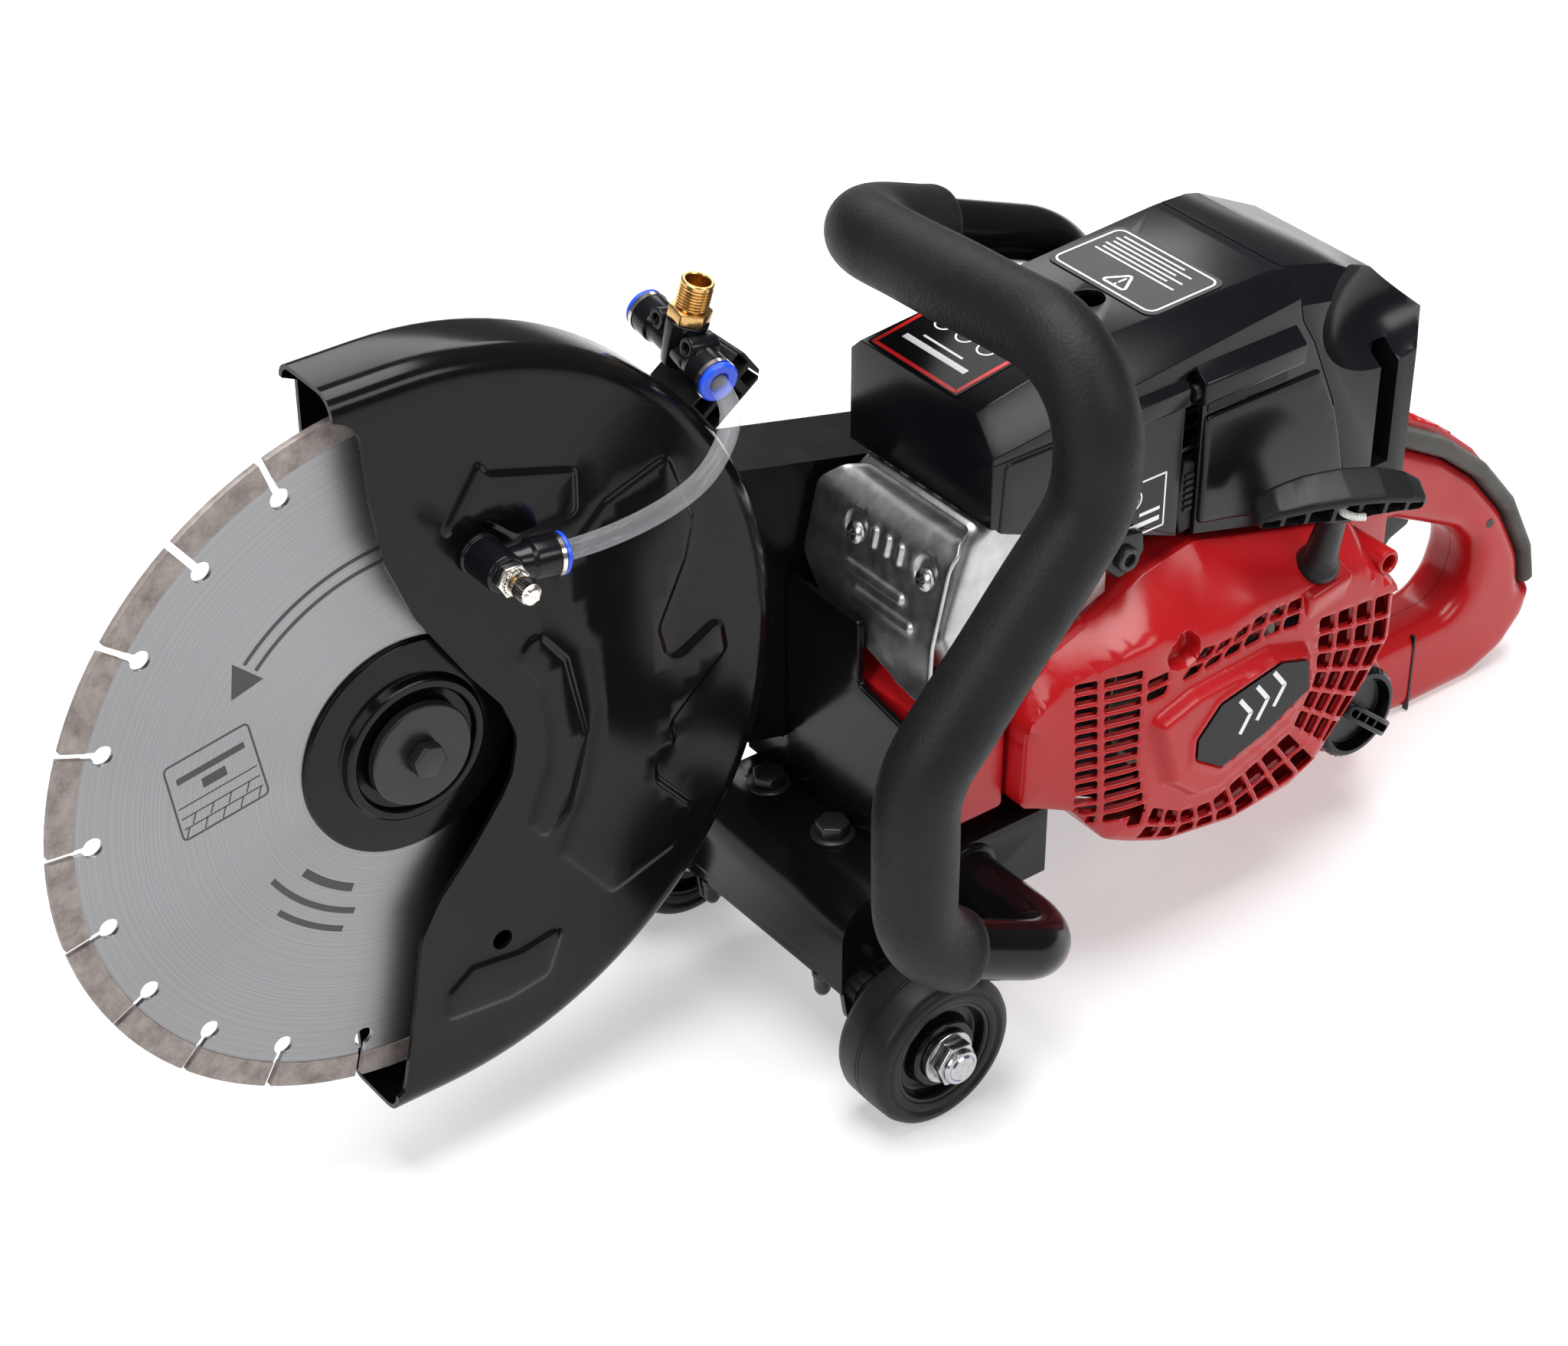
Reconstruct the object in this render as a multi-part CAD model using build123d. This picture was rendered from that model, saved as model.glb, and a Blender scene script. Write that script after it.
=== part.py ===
from build123d import *
import math
import os

# Petrol cut-off saw on guide wheels, modelled in millimetres.
# Working frame: origin on the blade axis in the blade's mid plane, X forward, Y to the left, Z up.
# Every part is moved at the end so that the origin is at the middle of the assembly's footprint.

# ---- driving dimensions ----
BLADE_R = 150.0
CORE_R = 139.5
CORE_T = 2.0
SEGMENT_T = 3.0
SLOTS = 22
SLOT_START = 5.0
SLOT_W = 3.0
KEYHOLE_R = 4.0
KEYHOLE_AT = 132.0
FLANGE_R = 46.0
ARBOR_R = 10.0
RUN_FIT = 0.05
GAP = 0.3
CRANK_X = -352.0
CRANK_Z = -83.0
BEARING_BORE = 8.5
BEARING_OUT = 17.5
COLLAR_R = 25.0
GUARD_R = 165.0
GUARD_NEAR = 14.0
GUARD_FAR = -22.0
GUARD_T = 2.0
BLADE_PULLEY_R = 38.0
DRIVE_PULLEY_R = 20.0
BELT_T = 3.0
ARM_NEAR = -24.0
ARM_FAR = -59.0
ARM_WALL = 3.0
COVER_T = 3.0
AXLE_X = -178.0
AXLE_Z = -173.0
WHEEL_R = 35.0
WHEEL_W = 30.0
WHEEL_NEAR = 94.0
WHEEL_FAR = -79.0
BASE_T = 3.0
BASE_TOP = -118.0
TUBE_R = 12.5
TUBE_BORE = 10.5
GRIP_R = 17.0
HOSE_R = 4.0
NOZZLE_X = -27.0
NOZZLE_Z = 81.0
FLYWHEEL_R = 48.0
CAP_X = -461.0
CAP_Z = -152.0

os.makedirs("parts", exist_ok=True)
PARTS = {}


# ---- shape helpers ----
def block(x0, x1, y0, y1, z0, z1):
    middle = Pos((x0 + x1) / 2, (y0 + y1) / 2, (z0 + z1) / 2)
    return middle * Box(x1 - x0, y1 - y0, z1 - z0)


def prism_y(points, y0, y1):
    plane = Plane(origin=(0, y1, 0), x_dir=(1, 0, 0), z_dir=(0, -1, 0))
    return extrude(plane * make_face(Polyline(*points, close=True)), amount=y1 - y0)


def prism_x(points, x0, x1):
    plane = Plane(origin=(x0, 0, 0), x_dir=(0, 1, 0), z_dir=(1, 0, 0))
    return extrude(plane * make_face(Polyline(*points, close=True)), amount=x1 - x0)


def sketch_y(sketch, y0, y1):
    plane = Plane(origin=(0, y1, 0), x_dir=(1, 0, 0), z_dir=(0, -1, 0))
    return extrude(plane * sketch, amount=y1 - y0)


def rod_y(x, z, y0, y1, r):
    return Pos(x, (y0 + y1) / 2, z) * Rot(90, 0, 0) * Cylinder(r, y1 - y0)


def ring_y(x, z, y0, y1, r_out, r_in):
    return rod_y(x, z, y0, y1, r_out) - rod_y(x, z, y0 - 1, y1 + 1, r_in)


def rod(start, axis, length, r):
    return Plane(origin=start, z_dir=axis) * Pos(0, 0, length / 2) * Cylinder(r, length)


def hex_rod(start, axis, length, flats):
    plane = Plane(origin=start, z_dir=axis)
    return extrude(plane * RegularPolygon(flats / 2, 6, major_radius=False), amount=length)


def along(start, axis, distance):
    return tuple(s + a * distance for s, a in zip(start, axis))


def unit(v):
    size = math.sqrt(sum(c * c for c in v))
    return tuple(c / size for c in v)


def run_length(a, b):
    return math.dist(a, b)


def toward(a, b, distance):
    return along(a, unit(tuple(q - p for p, q in zip(a, b))), distance)


def bend_radii(points, share=0.45):
    radii = []
    for a, b, c in zip(points, points[1:], points[2:]):
        u = unit(tuple(q - p for p, q in zip(a, b)))
        v = unit(tuple(q - p for p, q in zip(b, c)))
        turn = math.acos(sum(p * q for p, q in zip(u, v)))
        radii.append(share * min(run_length(a, b), run_length(b, c)) / math.tan(turn / 2))
    return radii


def swept(points, radii, r):
    path = FilletPolyline(*points, radius=radii)
    start = Plane(origin=path @ 0, z_dir=path % 0)
    return sweep(start * Circle(r), path=path)


def on_circle(r, degrees):
    return (r * math.cos(math.radians(degrees)), r * math.sin(math.radians(degrees)))


def rounded(shape, radius, keep):
    edges = [e for e in shape.edges() if keep(e)]
    return fillet(edges, radius)


# ---- diamond blade and its clamp ----
slot = block(KEYHOLE_AT, BLADE_R + 2, -3, 3, -SLOT_W / 2, SLOT_W / 2)
slot += rod_y(KEYHOLE_AT, 0, -3, 3, KEYHOLE_R)
slots = [Rot(0, -(SLOT_START + i * 360 / SLOTS), 0) * slot for i in range(SLOTS)]
core = ring_y(0, 0, -CORE_T / 2, CORE_T / 2, CORE_R, ARBOR_R)
PARTS["blade_core"] = core - slots
rim = ring_y(0, 0, -SEGMENT_T / 2, SEGMENT_T / 2, BLADE_R, CORE_R)
PARTS["blade_segments"] = rim - slots

outer = rod_y(0, 0, 1, 3, FLANGE_R)
outer += Pos(0, 5, 0) * Rot(-90, 0, 0) * Cone(31, 28, 4)
outer -= rod_y(0, 0, 0, 2.6, ARBOR_R)
PARTS["flange_outer"] = outer - rod_y(0, 0, 2, 8, 4.0)
bolt = rod_y(0, 0, 7, 11, 21.5) + hex_rod((0, 11, 0), (0, 1, 0), 6, 13)
PARTS["blade_bolt"] = bolt + rod_y(0, 0, -20, 7, 4.0)
shaft = rod_y(0, 0, -17.5, 2.6, ARBOR_R) + rod_y(0, 0, -35.5, -17.5, BEARING_BORE - RUN_FIT)
shaft += rod_y(0, 0, -56, -35.5, 7.0)
shaft += rod_y(0, 0, -3, -1, FLANGE_R) + rod_y(0, 0, -8, -3, 20)
shaft += hex_rod((0, -55, 0), (0, 1, 0), 3, 19)
PARTS["spindle"] = shaft - rod_y(0, 0, -20, 3, 4.0)


def pulley(x, z, r, bore):
    body = rod_y(x, z, -50.5, -37.5, r)
    body += rod_y(x, z, -37.5, -36, r + BELT_T) + rod_y(x, z, -52, -50.5, r + BELT_T)
    return body - rod_y(x, z, -53, -35, bore)


PARTS["blade_pulley"] = pulley(0, 0, BLADE_PULLEY_R, 7.0)


# ---- belt arm ----
def belt_loop(r0, r1):
    span = math.hypot(CRANK_X, CRANK_Z)
    direction = math.atan2(CRANK_Z, CRANK_X)
    lean = math.acos((r0 - r1) / span)
    corners = []
    for side in (lean, -lean):
        a = direction + side
        corners.append(((r0 * math.cos(a), r0 * math.sin(a)),
                        (CRANK_X + r1 * math.cos(a), CRANK_Z + r1 * math.sin(a))))
    (p0, p1), (q0, q1) = corners
    web = make_face(Polyline(p0, p1, q1, q0, close=True))
    return web + Circle(r0) + Pos(CRANK_X, CRANK_Z) * Circle(r1)


belt = sketch_y(belt_loop(BLADE_PULLEY_R + BELT_T, DRIVE_PULLEY_R + BELT_T), -50.2, -37.8)
belt -= sketch_y(belt_loop(BLADE_PULLEY_R + RUN_FIT, DRIVE_PULLEY_R + RUN_FIT), -51, -37)
PARTS["drive_belt"] = belt

ARM = [(0, 48), (-165, 45), (-260, 22.5), (-352, 0), (-405, -12), (-430, -50), (-426, -100),
       (-392, -132), (-350, -134), (0, -48)]
arm_face = make_face(Polyline(*ARM, close=True)) + Circle(48)
arm_face = fillet([v for v in arm_face.vertices() if v.X < -380], 16)
arm_inner = offset(arm_face, amount=-ARM_WALL)
arm = sketch_y(arm_face, ARM_FAR, ARM_NEAR)
arm -= sketch_y(arm_inner, ARM_FAR, ARM_NEAR - ARM_WALL)
arm += rod_y(0, 0, -32.5, -18, COLLAR_R)
arm -= rod_y(0, 0, -33, -18, BEARING_OUT)
arm -= rod_y(CRANK_X, CRANK_Z, -28, -23, 43)
SCREW_AT = [(-60, 41), (-150, 38), (-240, 14), (-395, -26), (-405, -100), (-250, -98), (-120, -72)]
arm += [rod_y(x, z, ARM_FAR, ARM_NEAR - 1, 4.2) for x, z in SCREW_AT]
arm -= [rod_y(x, z, ARM_FAR, ARM_FAR + 12, 2.0) for x, z in SCREW_AT]
PARTS["arm_housing"] = arm
cover = sketch_y(arm_face, ARM_FAR - COVER_T, ARM_FAR)
PARTS["arm_cover"] = cover - [rod_y(x, z, ARM_FAR - 4, ARM_FAR + 1, 2.0) for x, z in SCREW_AT]
screws = [rod_y(x, z, ARM_FAR - COVER_T - 2.5, ARM_FAR - COVER_T, 4.2)
          + rod_y(x, z, ARM_FAR - COVER_T, ARM_FAR + 12, 2.0) for x, z in SCREW_AT]
spindle_bearing = ring_y(0, 0, -32.5, -18.5, BEARING_OUT, BEARING_BORE)
retainer = ring_y(0, 0, -19.7, -18, 31, COLLAR_R)

# ---- blade guard ----
MOUTH = 50.0


def guard_body(r, y0, y1, near_round, far_round):
    disc = Circle(r) & (Pos(-r / 2, 0) * Rectangle(r, 2 * r))
    sides = Pos(MOUTH / 2, 0) * Rectangle(MOUTH, 2 * r)
    solid = sketch_y(disc + sides, y0, y1)
    near = [e for e in solid.edges() if abs(e.center().Y - y1) < 0.01 and e.center().X < MOUTH - 1]
    solid = fillet(near, near_round)
    far = [e for e in solid.edges() if abs(e.center().Y - y0) < 0.01 and e.center().X < MOUTH - 1]
    return fillet(far, far_round)


EDGE_NEAR = [(60, 157), (28, 157), (18, 148), (16, 119), (12, 91), (1, 63), (-11, 44), (-21, 28),
             (-34, 10), (-40, -7), (-37, -23), (-31, -33), (-16, -52), (-1, -68), (8, -83),
             (14, -119), (20, -150), (24, -157), (60, -157)]
EDGE_FAR = [(60, 157), (22, 157), (22, 100), (32, 60), (40, 25), (42, 0), (40, -25), (32, -60),
            (22, -100), (20, -157), (60, -157)]
EMBOSS_ARROW = [(-29, 121), (-33, 114), (-71, 102), (-71, 81), (-43, 81), (-31, 92), (-9, 92)]
EMBOSS_HOOK = [(-112, 93), (-124, 60), (-120, 43), (-107, 16), (-111, -1), (-136, 12), (-139, -7),
               (-111, -31), (-114, -42), (-104, -46), (-104, -54), (-121, -74), (-112, -92),
               (-80, -102), (-55, -70), (-69, -42), (-76, -8), (-72, 20), (-59, 50), (-57, 60), (-82, 83)]
EMBOSS_RIB = [(-50, 39), (-64, 20), (-72, -19), (-62, -52), (-50, -62), (-42, -50), (-52, -26),
              (-53, -8), (-50, 11), (-40, 29)]
EMBOSS_FOOT = [(-59, -104), (-49, -128), (-30, -131), (1, -128), (0, -114), (-13, -105), (-35, -108)]
shell = guard_body(GUARD_R, GUARD_FAR, GUARD_NEAR, 10, 7)
hollow = guard_body(GUARD_R - GUARD_T, GUARD_FAR + GUARD_T, GUARD_NEAR - GUARD_T, 8, 5)
shell -= hollow
shell -= block(28, 70, -30, 30, 140, 170)
shell -= block(24, 70, -30, 30, -170, -140)
shell -= prism_y(EDGE_NEAR, 0, 20)
shell -= prism_y(EDGE_FAR, -30, -10)
for pad in (EMBOSS_ARROW, EMBOSS_HOOK, EMBOSS_RIB, EMBOSS_FOOT):
    shell += prism_y(pad, GUARD_NEAR - 1, GUARD_NEAR + 1.4)
shell -= rod_y(-28, -100, 5, 20, 4)
shell -= rod_y(0, 0, -25, -15, COLLAR_R + RUN_FIT)
shell -= rod_y(NOZZLE_X, NOZZLE_Z, -30, 20, 5)
PARTS["guard_shell"] = shell

# adjusting lever on the guard's rim
LEVER_AT = 144.0
ux, uz = on_circle(1, LEVER_AT)
tx, tz = uz, -ux


def lever_point(u, t):
    return (u * ux + t * tx, u * uz + t * tz)


LEVER = [(160, -13), (191, -13), (194, -10), (194, 2), (191, 5), (160, 5)]
lever = prism_y([lever_point(u, t) for u, t in LEVER], -24, 4)
lever -= rod_y(0, 0, -40, 20, GUARD_R)
for u in (170, 180, 190):
    for t in (-8.5, 0.5):
        corners = [(u - 4, t - 3), (u + 2, t - 3), (u + 2, t + 3), (u - 4, t + 3)]
        lever -= prism_y([lever_point(a, b) for a, b in corners], -12, 6)
PARTS["guard_lever"] = lever

# ---- water kit ----
TEE = (-138.0, -12.0, 118.0)
RUN = unit((0.05, 0.985, -0.16))
lean = unit((-0.17, 0.16, 0.97))
along_run = sum(a * b for a, b in zip(lean, RUN))
STEM = unit(tuple(a - along_run * b for a, b in zip(lean, RUN)))
tee = rod(along(TEE, RUN, -22), RUN, 44, 7.5)
tee += rod(TEE, STEM, 12, 8)
tee += rod(along(TEE, RUN, -24), RUN, 9, 8.2) + rod(along(TEE, RUN, 15), RUN, 9, 8.2)
seat_axis = (-tx, 0, -tz)
seat_u = TEE[0] * ux + TEE[2] * uz
seat_t = TEE[0] * tx + TEE[2] * tz
tee += rod(TEE, seat_axis, seat_t - 5, 6)
tee -= rod(TEE, STEM, 13, 3.2)
tee -= rod(along(TEE, RUN, -20), RUN, 40, 3.0)
tee -= rod(along(TEE, RUN, -25), RUN, 10, HOSE_R) + rod(along(TEE, RUN, 15), RUN, 10, HOSE_R)
PARTS["water_tee"] = tee - PARTS["guard_lever"]
spigot = hex_rod(along(TEE, STEM, 12), STEM, 5, 15) + rod(along(TEE, STEM, 17), STEM, 12, 6.58)
PARTS["inlet_spigot"] = spigot - rod(along(TEE, STEM, 11), STEM, 20, 4.6)
collets = [rod(along(TEE, RUN, 24), RUN, 2.5, 7.4) - rod(along(TEE, RUN, 23), RUN, 5, HOSE_R)]
back = tuple(-c for c in RUN)
collets.append(rod(along(TEE, back, 24), back, 2.5, 7.4) - rod(along(TEE, back, 23), back, 5, HOSE_R))


def nozzle(side, panel, way):
    start = panel
    end = panel + side * 20
    lo, hi = sorted((start, end))
    body = rod_y(NOZZLE_X, NOZZLE_Z, lo, hi, 8)
    through = sorted((panel - side * 4, panel))
    body += rod_y(NOZZLE_X, NOZZLE_Z, through[0], through[1], 5)
    axis = unit(way)
    centre = (NOZZLE_X, panel + side * 12, NOZZLE_Z)
    body += rod(centre, axis, 25, 6.6)
    body -= rod(along(centre, axis, 17), axis, 9, HOSE_R)
    body -= rod(centre, axis, 18, 2.5)
    inner_end = sorted((panel - side * 5, panel + side * 21))
    body -= rod_y(NOZZLE_X, NOZZLE_Z, inner_end[0], inner_end[1], 2.2)
    collet = rod(along(centre, axis, 25), axis, 2.5, 6.6) - rod(along(centre, axis, 24), axis, 5, HOSE_R)
    return body, collet, centre, axis


left_body, left_collet, left_centre, left_axis = nozzle(1, GUARD_NEAR, (-0.99, 0.07, -0.12))
right_body, right_collet, right_centre, right_axis = nozzle(-1, GUARD_FAR, (-0.87, -0.16, 0.47))
PARTS["nozzle_left"] = left_body
PARTS["nozzle_right"] = right_body


def lock_nut(side, panel):
    start = (NOZZLE_X, panel + side * 20, NOZZLE_Z)
    nut = hex_rod(start, (0, side, 0), 4, 12) + rod(along(start, (0, side, 0), 4), (0, side, 0), 2, 4.6)
    return nut - rod(along(start, (0, side, 0), -1), (0, side, 0), 8, 2.2)


def needle(side, panel):
    start = (NOZZLE_X, panel + side * 14, NOZZLE_Z)
    screw = rod(start, (0, side, 0), 16, 2.2 - RUN_FIT)
    return screw + rod(along(start, (0, side, 0), 15), (0, side, 0), 8, 4.4)


fittings = collets + [left_collet, right_collet, lock_nut(1, GUARD_NEAR), lock_nut(-1, GUARD_FAR)]
PARTS["water_fittings"] = Compound(children=fittings)
PARTS["needle_left"] = needle(1, GUARD_NEAR)
PARTS["needle_right"] = needle(-1, GUARD_FAR)


def hose_route(way, free_run, bend_points, centre, axis):
    ends = [along(centre, axis, 43), along(centre, axis, 17.5)]
    return [along(TEE, way, 15.5), along(TEE, way, free_run)] + bend_points + ends


LEFT_ROUTE = hose_route(RUN, 35, [(-121.5, 40, 106), (-101, 46, 94)], left_centre, left_axis)
RIGHT_BENDS = [(-124.4, -73.3, 120.7), (-95.1, -76.2, 112.8)]
RIGHT_ROUTE = hose_route(back, 36.3, RIGHT_BENDS, right_centre, right_axis)
PARTS["hose_left"] = swept(LEFT_ROUTE, bend_radii(LEFT_ROUTE), HOSE_R)
PARTS["hose_right"] = swept(RIGHT_ROUTE, bend_radii(RIGHT_ROUTE), HOSE_R)

# ---- wheeled base ----
SKIRT_LOW = -166.0
BASE_FRONT = -162.0
BASE_REAR = -272.0
BASE_Y0 = -45.0
BASE_Y1 = 60.0
profile = [(BASE_REAR, BASE_TOP), (BASE_FRONT, BASE_TOP), (BASE_FRONT, SKIRT_LOW),
           (BASE_REAR, SKIRT_LOW)]
solid = prism_y(profile, BASE_Y0, BASE_Y1)
solid = rounded(solid, 24, lambda e: abs(e.center().X - BASE_FRONT) < 0.01
                and abs(e.center().Z - BASE_TOP) < 0.01)
cavity = prism_y([(BASE_REAR - 5, BASE_TOP - BASE_T), (BASE_FRONT - BASE_T, BASE_TOP - BASE_T),
                  (BASE_FRONT - BASE_T, SKIRT_LOW - 5), (BASE_REAR - 5, SKIRT_LOW - 5)],
                 BASE_Y0 + BASE_T, BASE_Y1 - BASE_T)
cavity = rounded(cavity, 21, lambda e: abs(e.center().X - BASE_FRONT + BASE_T) < 0.01
                 and abs(e.center().Z - BASE_TOP + BASE_T) < 0.01)
base = solid - cavity
base -= block(-280, -222, BASE_Y0 - 5, BASE_Y1 + 5, -170, -152)
LUG = [(-196, -160), (-192, -184), (-166, -184), (-162, -160)]
base += prism_y(LUG, BASE_Y0, BASE_Y0 + BASE_T) + prism_y(LUG, BASE_Y1 - BASE_T, BASE_Y1)
base -= rod_y(AXLE_X, AXLE_Z, BASE_Y0 - 5, BASE_Y1 + 5, 6)
base -= rod_y(-228, -134, BASE_Y1 - 10, BASE_Y1 + 5, TUBE_R)
BOLT_AT = [(-188, -24), (-188, 20)]
base -= [Pos(x, y, BASE_TOP) * Cylinder(4, 20) for x, y in BOLT_AT]
STUD_AT = [(-166, -36), (-166, 42)]
PARTS["base_channel"] = base
bolts = [hex_rod((x, y, BASE_TOP), (0, 0, 1), 7, 13) + Pos(x, y, BASE_TOP - 8) * Cylinder(4, 16)
         for x, y in BOLT_AT]
studs = [Pos(x, y, SKIRT_LOW - 6) * Cylinder(4.5, 12) for x, y in STUD_AT]
PARTS["base_hardware"] = Compound(children=bolts + studs)

PLATE = [(-51, -118), (38, -118), (57, -66), (57, -50), (24, -44), (24, -14), (-23.6, -14),
         (-23.6, -98.5), (-51, -98.5)]
PARTS["mount_plate"] = prism_x(PLATE, -200, -197)

# ---- axle and guide wheels ----
axle = rod_y(AXLE_X, AXLE_Z, WHEEL_FAR - WHEEL_W / 2 - 11, WHEEL_NEAR + WHEEL_W / 2 + 11, 6)
PARTS["axle"] = axle
SPACE_NEAR = WHEEL_NEAR - WHEEL_W / 2 - GAP
SPACE_FAR = WHEEL_FAR + WHEEL_W / 2 + GAP
spacers = [ring_y(AXLE_X, AXLE_Z, BASE_Y1, SPACE_NEAR, 9, 6),
           ring_y(AXLE_X, AXLE_Z, SPACE_FAR, BASE_Y0, 9, 6)]


def axle_nut(side, face):
    start = (AXLE_X, face + side * GAP, AXLE_Z)
    washer = rod(start, (0, side, 0), 1.6, 12)
    nut = hex_rod(along(start, (0, side, 0), 1.6), (0, side, 0), 6, 18)
    collar = rod(along(start, (0, side, 0), 7.6), (0, side, 0), 2.6, 8)
    return washer + nut + collar - rod(along(start, (0, side, 0), -1), (0, side, 0), 14, 6)


nuts = [axle_nut(1, WHEEL_NEAR + WHEEL_W / 2), axle_nut(-1, WHEEL_FAR - WHEEL_W / 2)]
PARTS["axle_hardware"] = Compound(children=spacers + nuts)


def wheel(y):
    tyre = ring_y(AXLE_X, AXLE_Z, y - WHEEL_W / 2, y + WHEEL_W / 2, WHEEL_R, 24)
    tyre = rounded(tyre, 3, lambda e: e.geom_type == GeomType.CIRCLE and abs(e.radius - WHEEL_R) < 0.01)
    hub = ring_y(AXLE_X, AXLE_Z, y - 10, y + 10, 24, 11)
    hub += ring_y(AXLE_X, AXLE_Z, y - 14, y + 14, 15, 11)
    hub -= ring_y(AXLE_X, AXLE_Z, y + 4, y + 11, 22, 15) + ring_y(AXLE_X, AXLE_Z, y - 11, y - 4, 22, 15)
    bearing = ring_y(AXLE_X, AXLE_Z, y - 15, y + 15, 11, 6 + RUN_FIT)
    return tyre, hub, bearing


for side, at in (("left", WHEEL_NEAR), ("right", WHEEL_FAR)):
    tyre, hub, bearing = wheel(at)
    PARTS["tyre_" + side] = tyre
    PARTS["wheel_hub_" + side] = Compound(children=[hub, bearing])

# ---- front handle ----
TUBE = [(-228, 20, -134), (-228, 122, -134), (-150, 120, -96), (-149, 120, -16), (-233, 120, 78),
        (-232, 120, 139), (-238, -44, 126), (-352, -47, 82), (-388, -47, 40), (-388, -47, 0)]
TUBE_BENDS = [24, 38, 42, 40, 36, 34, 60, 24]
GRIP_START = toward(TUBE[2], TUBE[1], 27)
GRIP_END = toward(TUBE[6], TUBE[7], 56)
GRIP = [GRIP_START] + TUBE[2:7] + [GRIP_END]
tube = swept(TUBE, TUBE_BENDS, TUBE_R) - swept(TUBE, TUBE_BENDS, TUBE_BORE)
PARTS["front_handle_tube"] = tube
PARTS["front_handle_grip"] = swept(GRIP, TUBE_BENDS[1:6], GRIP_R) - swept(GRIP, TUBE_BENDS[1:6], TUBE_R)
foot = block(-404, -372, ARM_FAR, -35, -4, 16) - rod((-388, -47, 0), (0, 0, 1), 30, TUBE_R)
foot -= prism_y(ARM, -70, -20)
clamp = block(-244, -212, 20, 36, -146, BASE_TOP - BASE_T) - rod_y(-228, -134, 19, 40, TUBE_R)
PARTS["handle_brackets"] = Compound(children=[clamp, foot])

# ---- engine ----
CASE = [(-204, -112), (-204, -46), (-215, -40), (-412, -40), (-412, -117), (-290, -117), (-284, -112)]
case = prism_y(CASE, -23.7, 44)
case += prism_y([(-204, -106), (-204, -46), (-215, -40), (-246, -40), (-246, -106)], 44, 60)
case -= rod_y(CRANK_X, CRANK_Z, -8, 22, 33)
case -= rod_y(CRANK_X, CRANK_Z, -30, 50, 16)
case -= block(CRANK_X - 22, CRANK_X + 22, -8, 22, CRANK_Z, -30)
PARTS["crankcase"] = case
bearings = [ring_y(CRANK_X, CRANK_Z, -22, -10, 16, 7.5), ring_y(CRANK_X, CRANK_Z, 26, 40, 16, 7.5)]
PARTS["main_bearings"] = Compound(children=bearings + [spindle_bearing])
crank = rod_y(CRANK_X, CRANK_Z, -32.5, 74, 7.45)
crank += rod_y(CRANK_X, CRANK_Z, -58, -32.5, 6)
crank += rod_y(CRANK_X, CRANK_Z, -6, 20, 30)
crank -= block(CRANK_X - 40, CRANK_X + 40, 3, 11, CRANK_Z - 40, CRANK_Z + 40)
crank += rod_y(CRANK_X, CRANK_Z + 16, 3, 11, 7)
PARTS["crankshaft"] = crank
wheel_fan = rod_y(CRANK_X, CRANK_Z, 47, 60, FLYWHEEL_R)
for i in range(12):
    vane = block(CRANK_X + 20, CRANK_X + 46, 60, 68, CRANK_Z - 1.5, CRANK_Z + 1.5)
    wheel_fan += Pos(CRANK_X, 0, CRANK_Z) * Rot(0, i * 30, 0) * Pos(-CRANK_X, 0, -CRANK_Z) * vane
PARTS["flywheel"] = wheel_fan - rod_y(CRANK_X, CRANK_Z, 40, 75, 7.45)
drum = rod_y(CRANK_X, CRANK_Z, -36, -26, 38) - rod_y(CRANK_X, CRANK_Z, -33, -25, 35)
drum -= rod_y(CRANK_X, CRANK_Z, -37, -25, 6 + RUN_FIT)
PARTS["clutch_drum"] = drum + pulley(CRANK_X, CRANK_Z, DRIVE_PULLEY_R, 6 + RUN_FIT)

cylinder = Pos(-347, 13, 12) * Cylinder(27, 104)
for i in range(13):
    cylinder += block(-386, -308, -20, 43.5, -30 + i * 7.4, -28 + i * 7.4)
cylinder += block(-308, -302, -8, 34, -25, 15)
cylinder -= Pos(-347, 13, 0) * Cylinder(21, 84)
cylinder -= Pos(-347, 13, 60) * Cylinder(6, 30)
cylinder -= Pos(-314, 22, 60) * Cylinder(3, 40)
PARTS["cylinder"] = cylinder
plug = Pos(-347, 13, 62) * Cylinder(6, 24) + Pos(-347, 13, 79) * Cylinder(9, 12)
PARTS["spark_plug"] = plug
valve = Pos(-314, 22, 58) * Cylinder(3 - RUN_FIT, 20)
PARTS["decomp_valve"] = valve + Pos(-314, 22, 74) * Cylinder(5.5, 13)
carburettor = block(-420, -396, -4, 32, -22, 14) + rod((-396, 13, -4), (1, 0, 0), 10, 12)
air = block(-458, -404, -14, 44, 24, 54) + block(-436, -420, -4, 32, 4, 24)
PARTS["air_intake"] = carburettor + air

MUFFLER = [(-302, -38), (-302, 39), (-246, 39), (-228, 30.5), (-214, -14), (-222, -38)]
muffler = prism_y(MUFFLER, -21, 55)
muffler = rounded(muffler, 8, lambda e: abs(e.center().Y - 17) < 0.5 and e.center().X > -250)
muffler += prism_y([(-302, -38), (-302, 4), (-250, 12), (-232, -38)], 55, 58.5)
PARTS["muffler"] = muffler - prism_y([(-330, -10), (-262, -36), (-240, -60), (-330, -60)], 43, 70)
SHIELD = [(-228, 34.5), (-219, 34), (-211, 27), (-203, -8), (-202, -33)]
sheet = SHIELD + [(x - 2.4, z - 1.4) for x, z in reversed(SHIELD)]
shield = prism_y(sheet, -21, 64)
shield -= prism_x([(-25, 10), (-25, 50), (-8, 50)], -260, -190)
shield -= prism_x([(-25, -40), (-25, -20), (40, -40)], -260, -190)
shield -= prism_x([(70, 20), (70, 50), (52, 50)], -260, -190)
SHIELD_N = unit((0.975, 0, 0.223))
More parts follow.
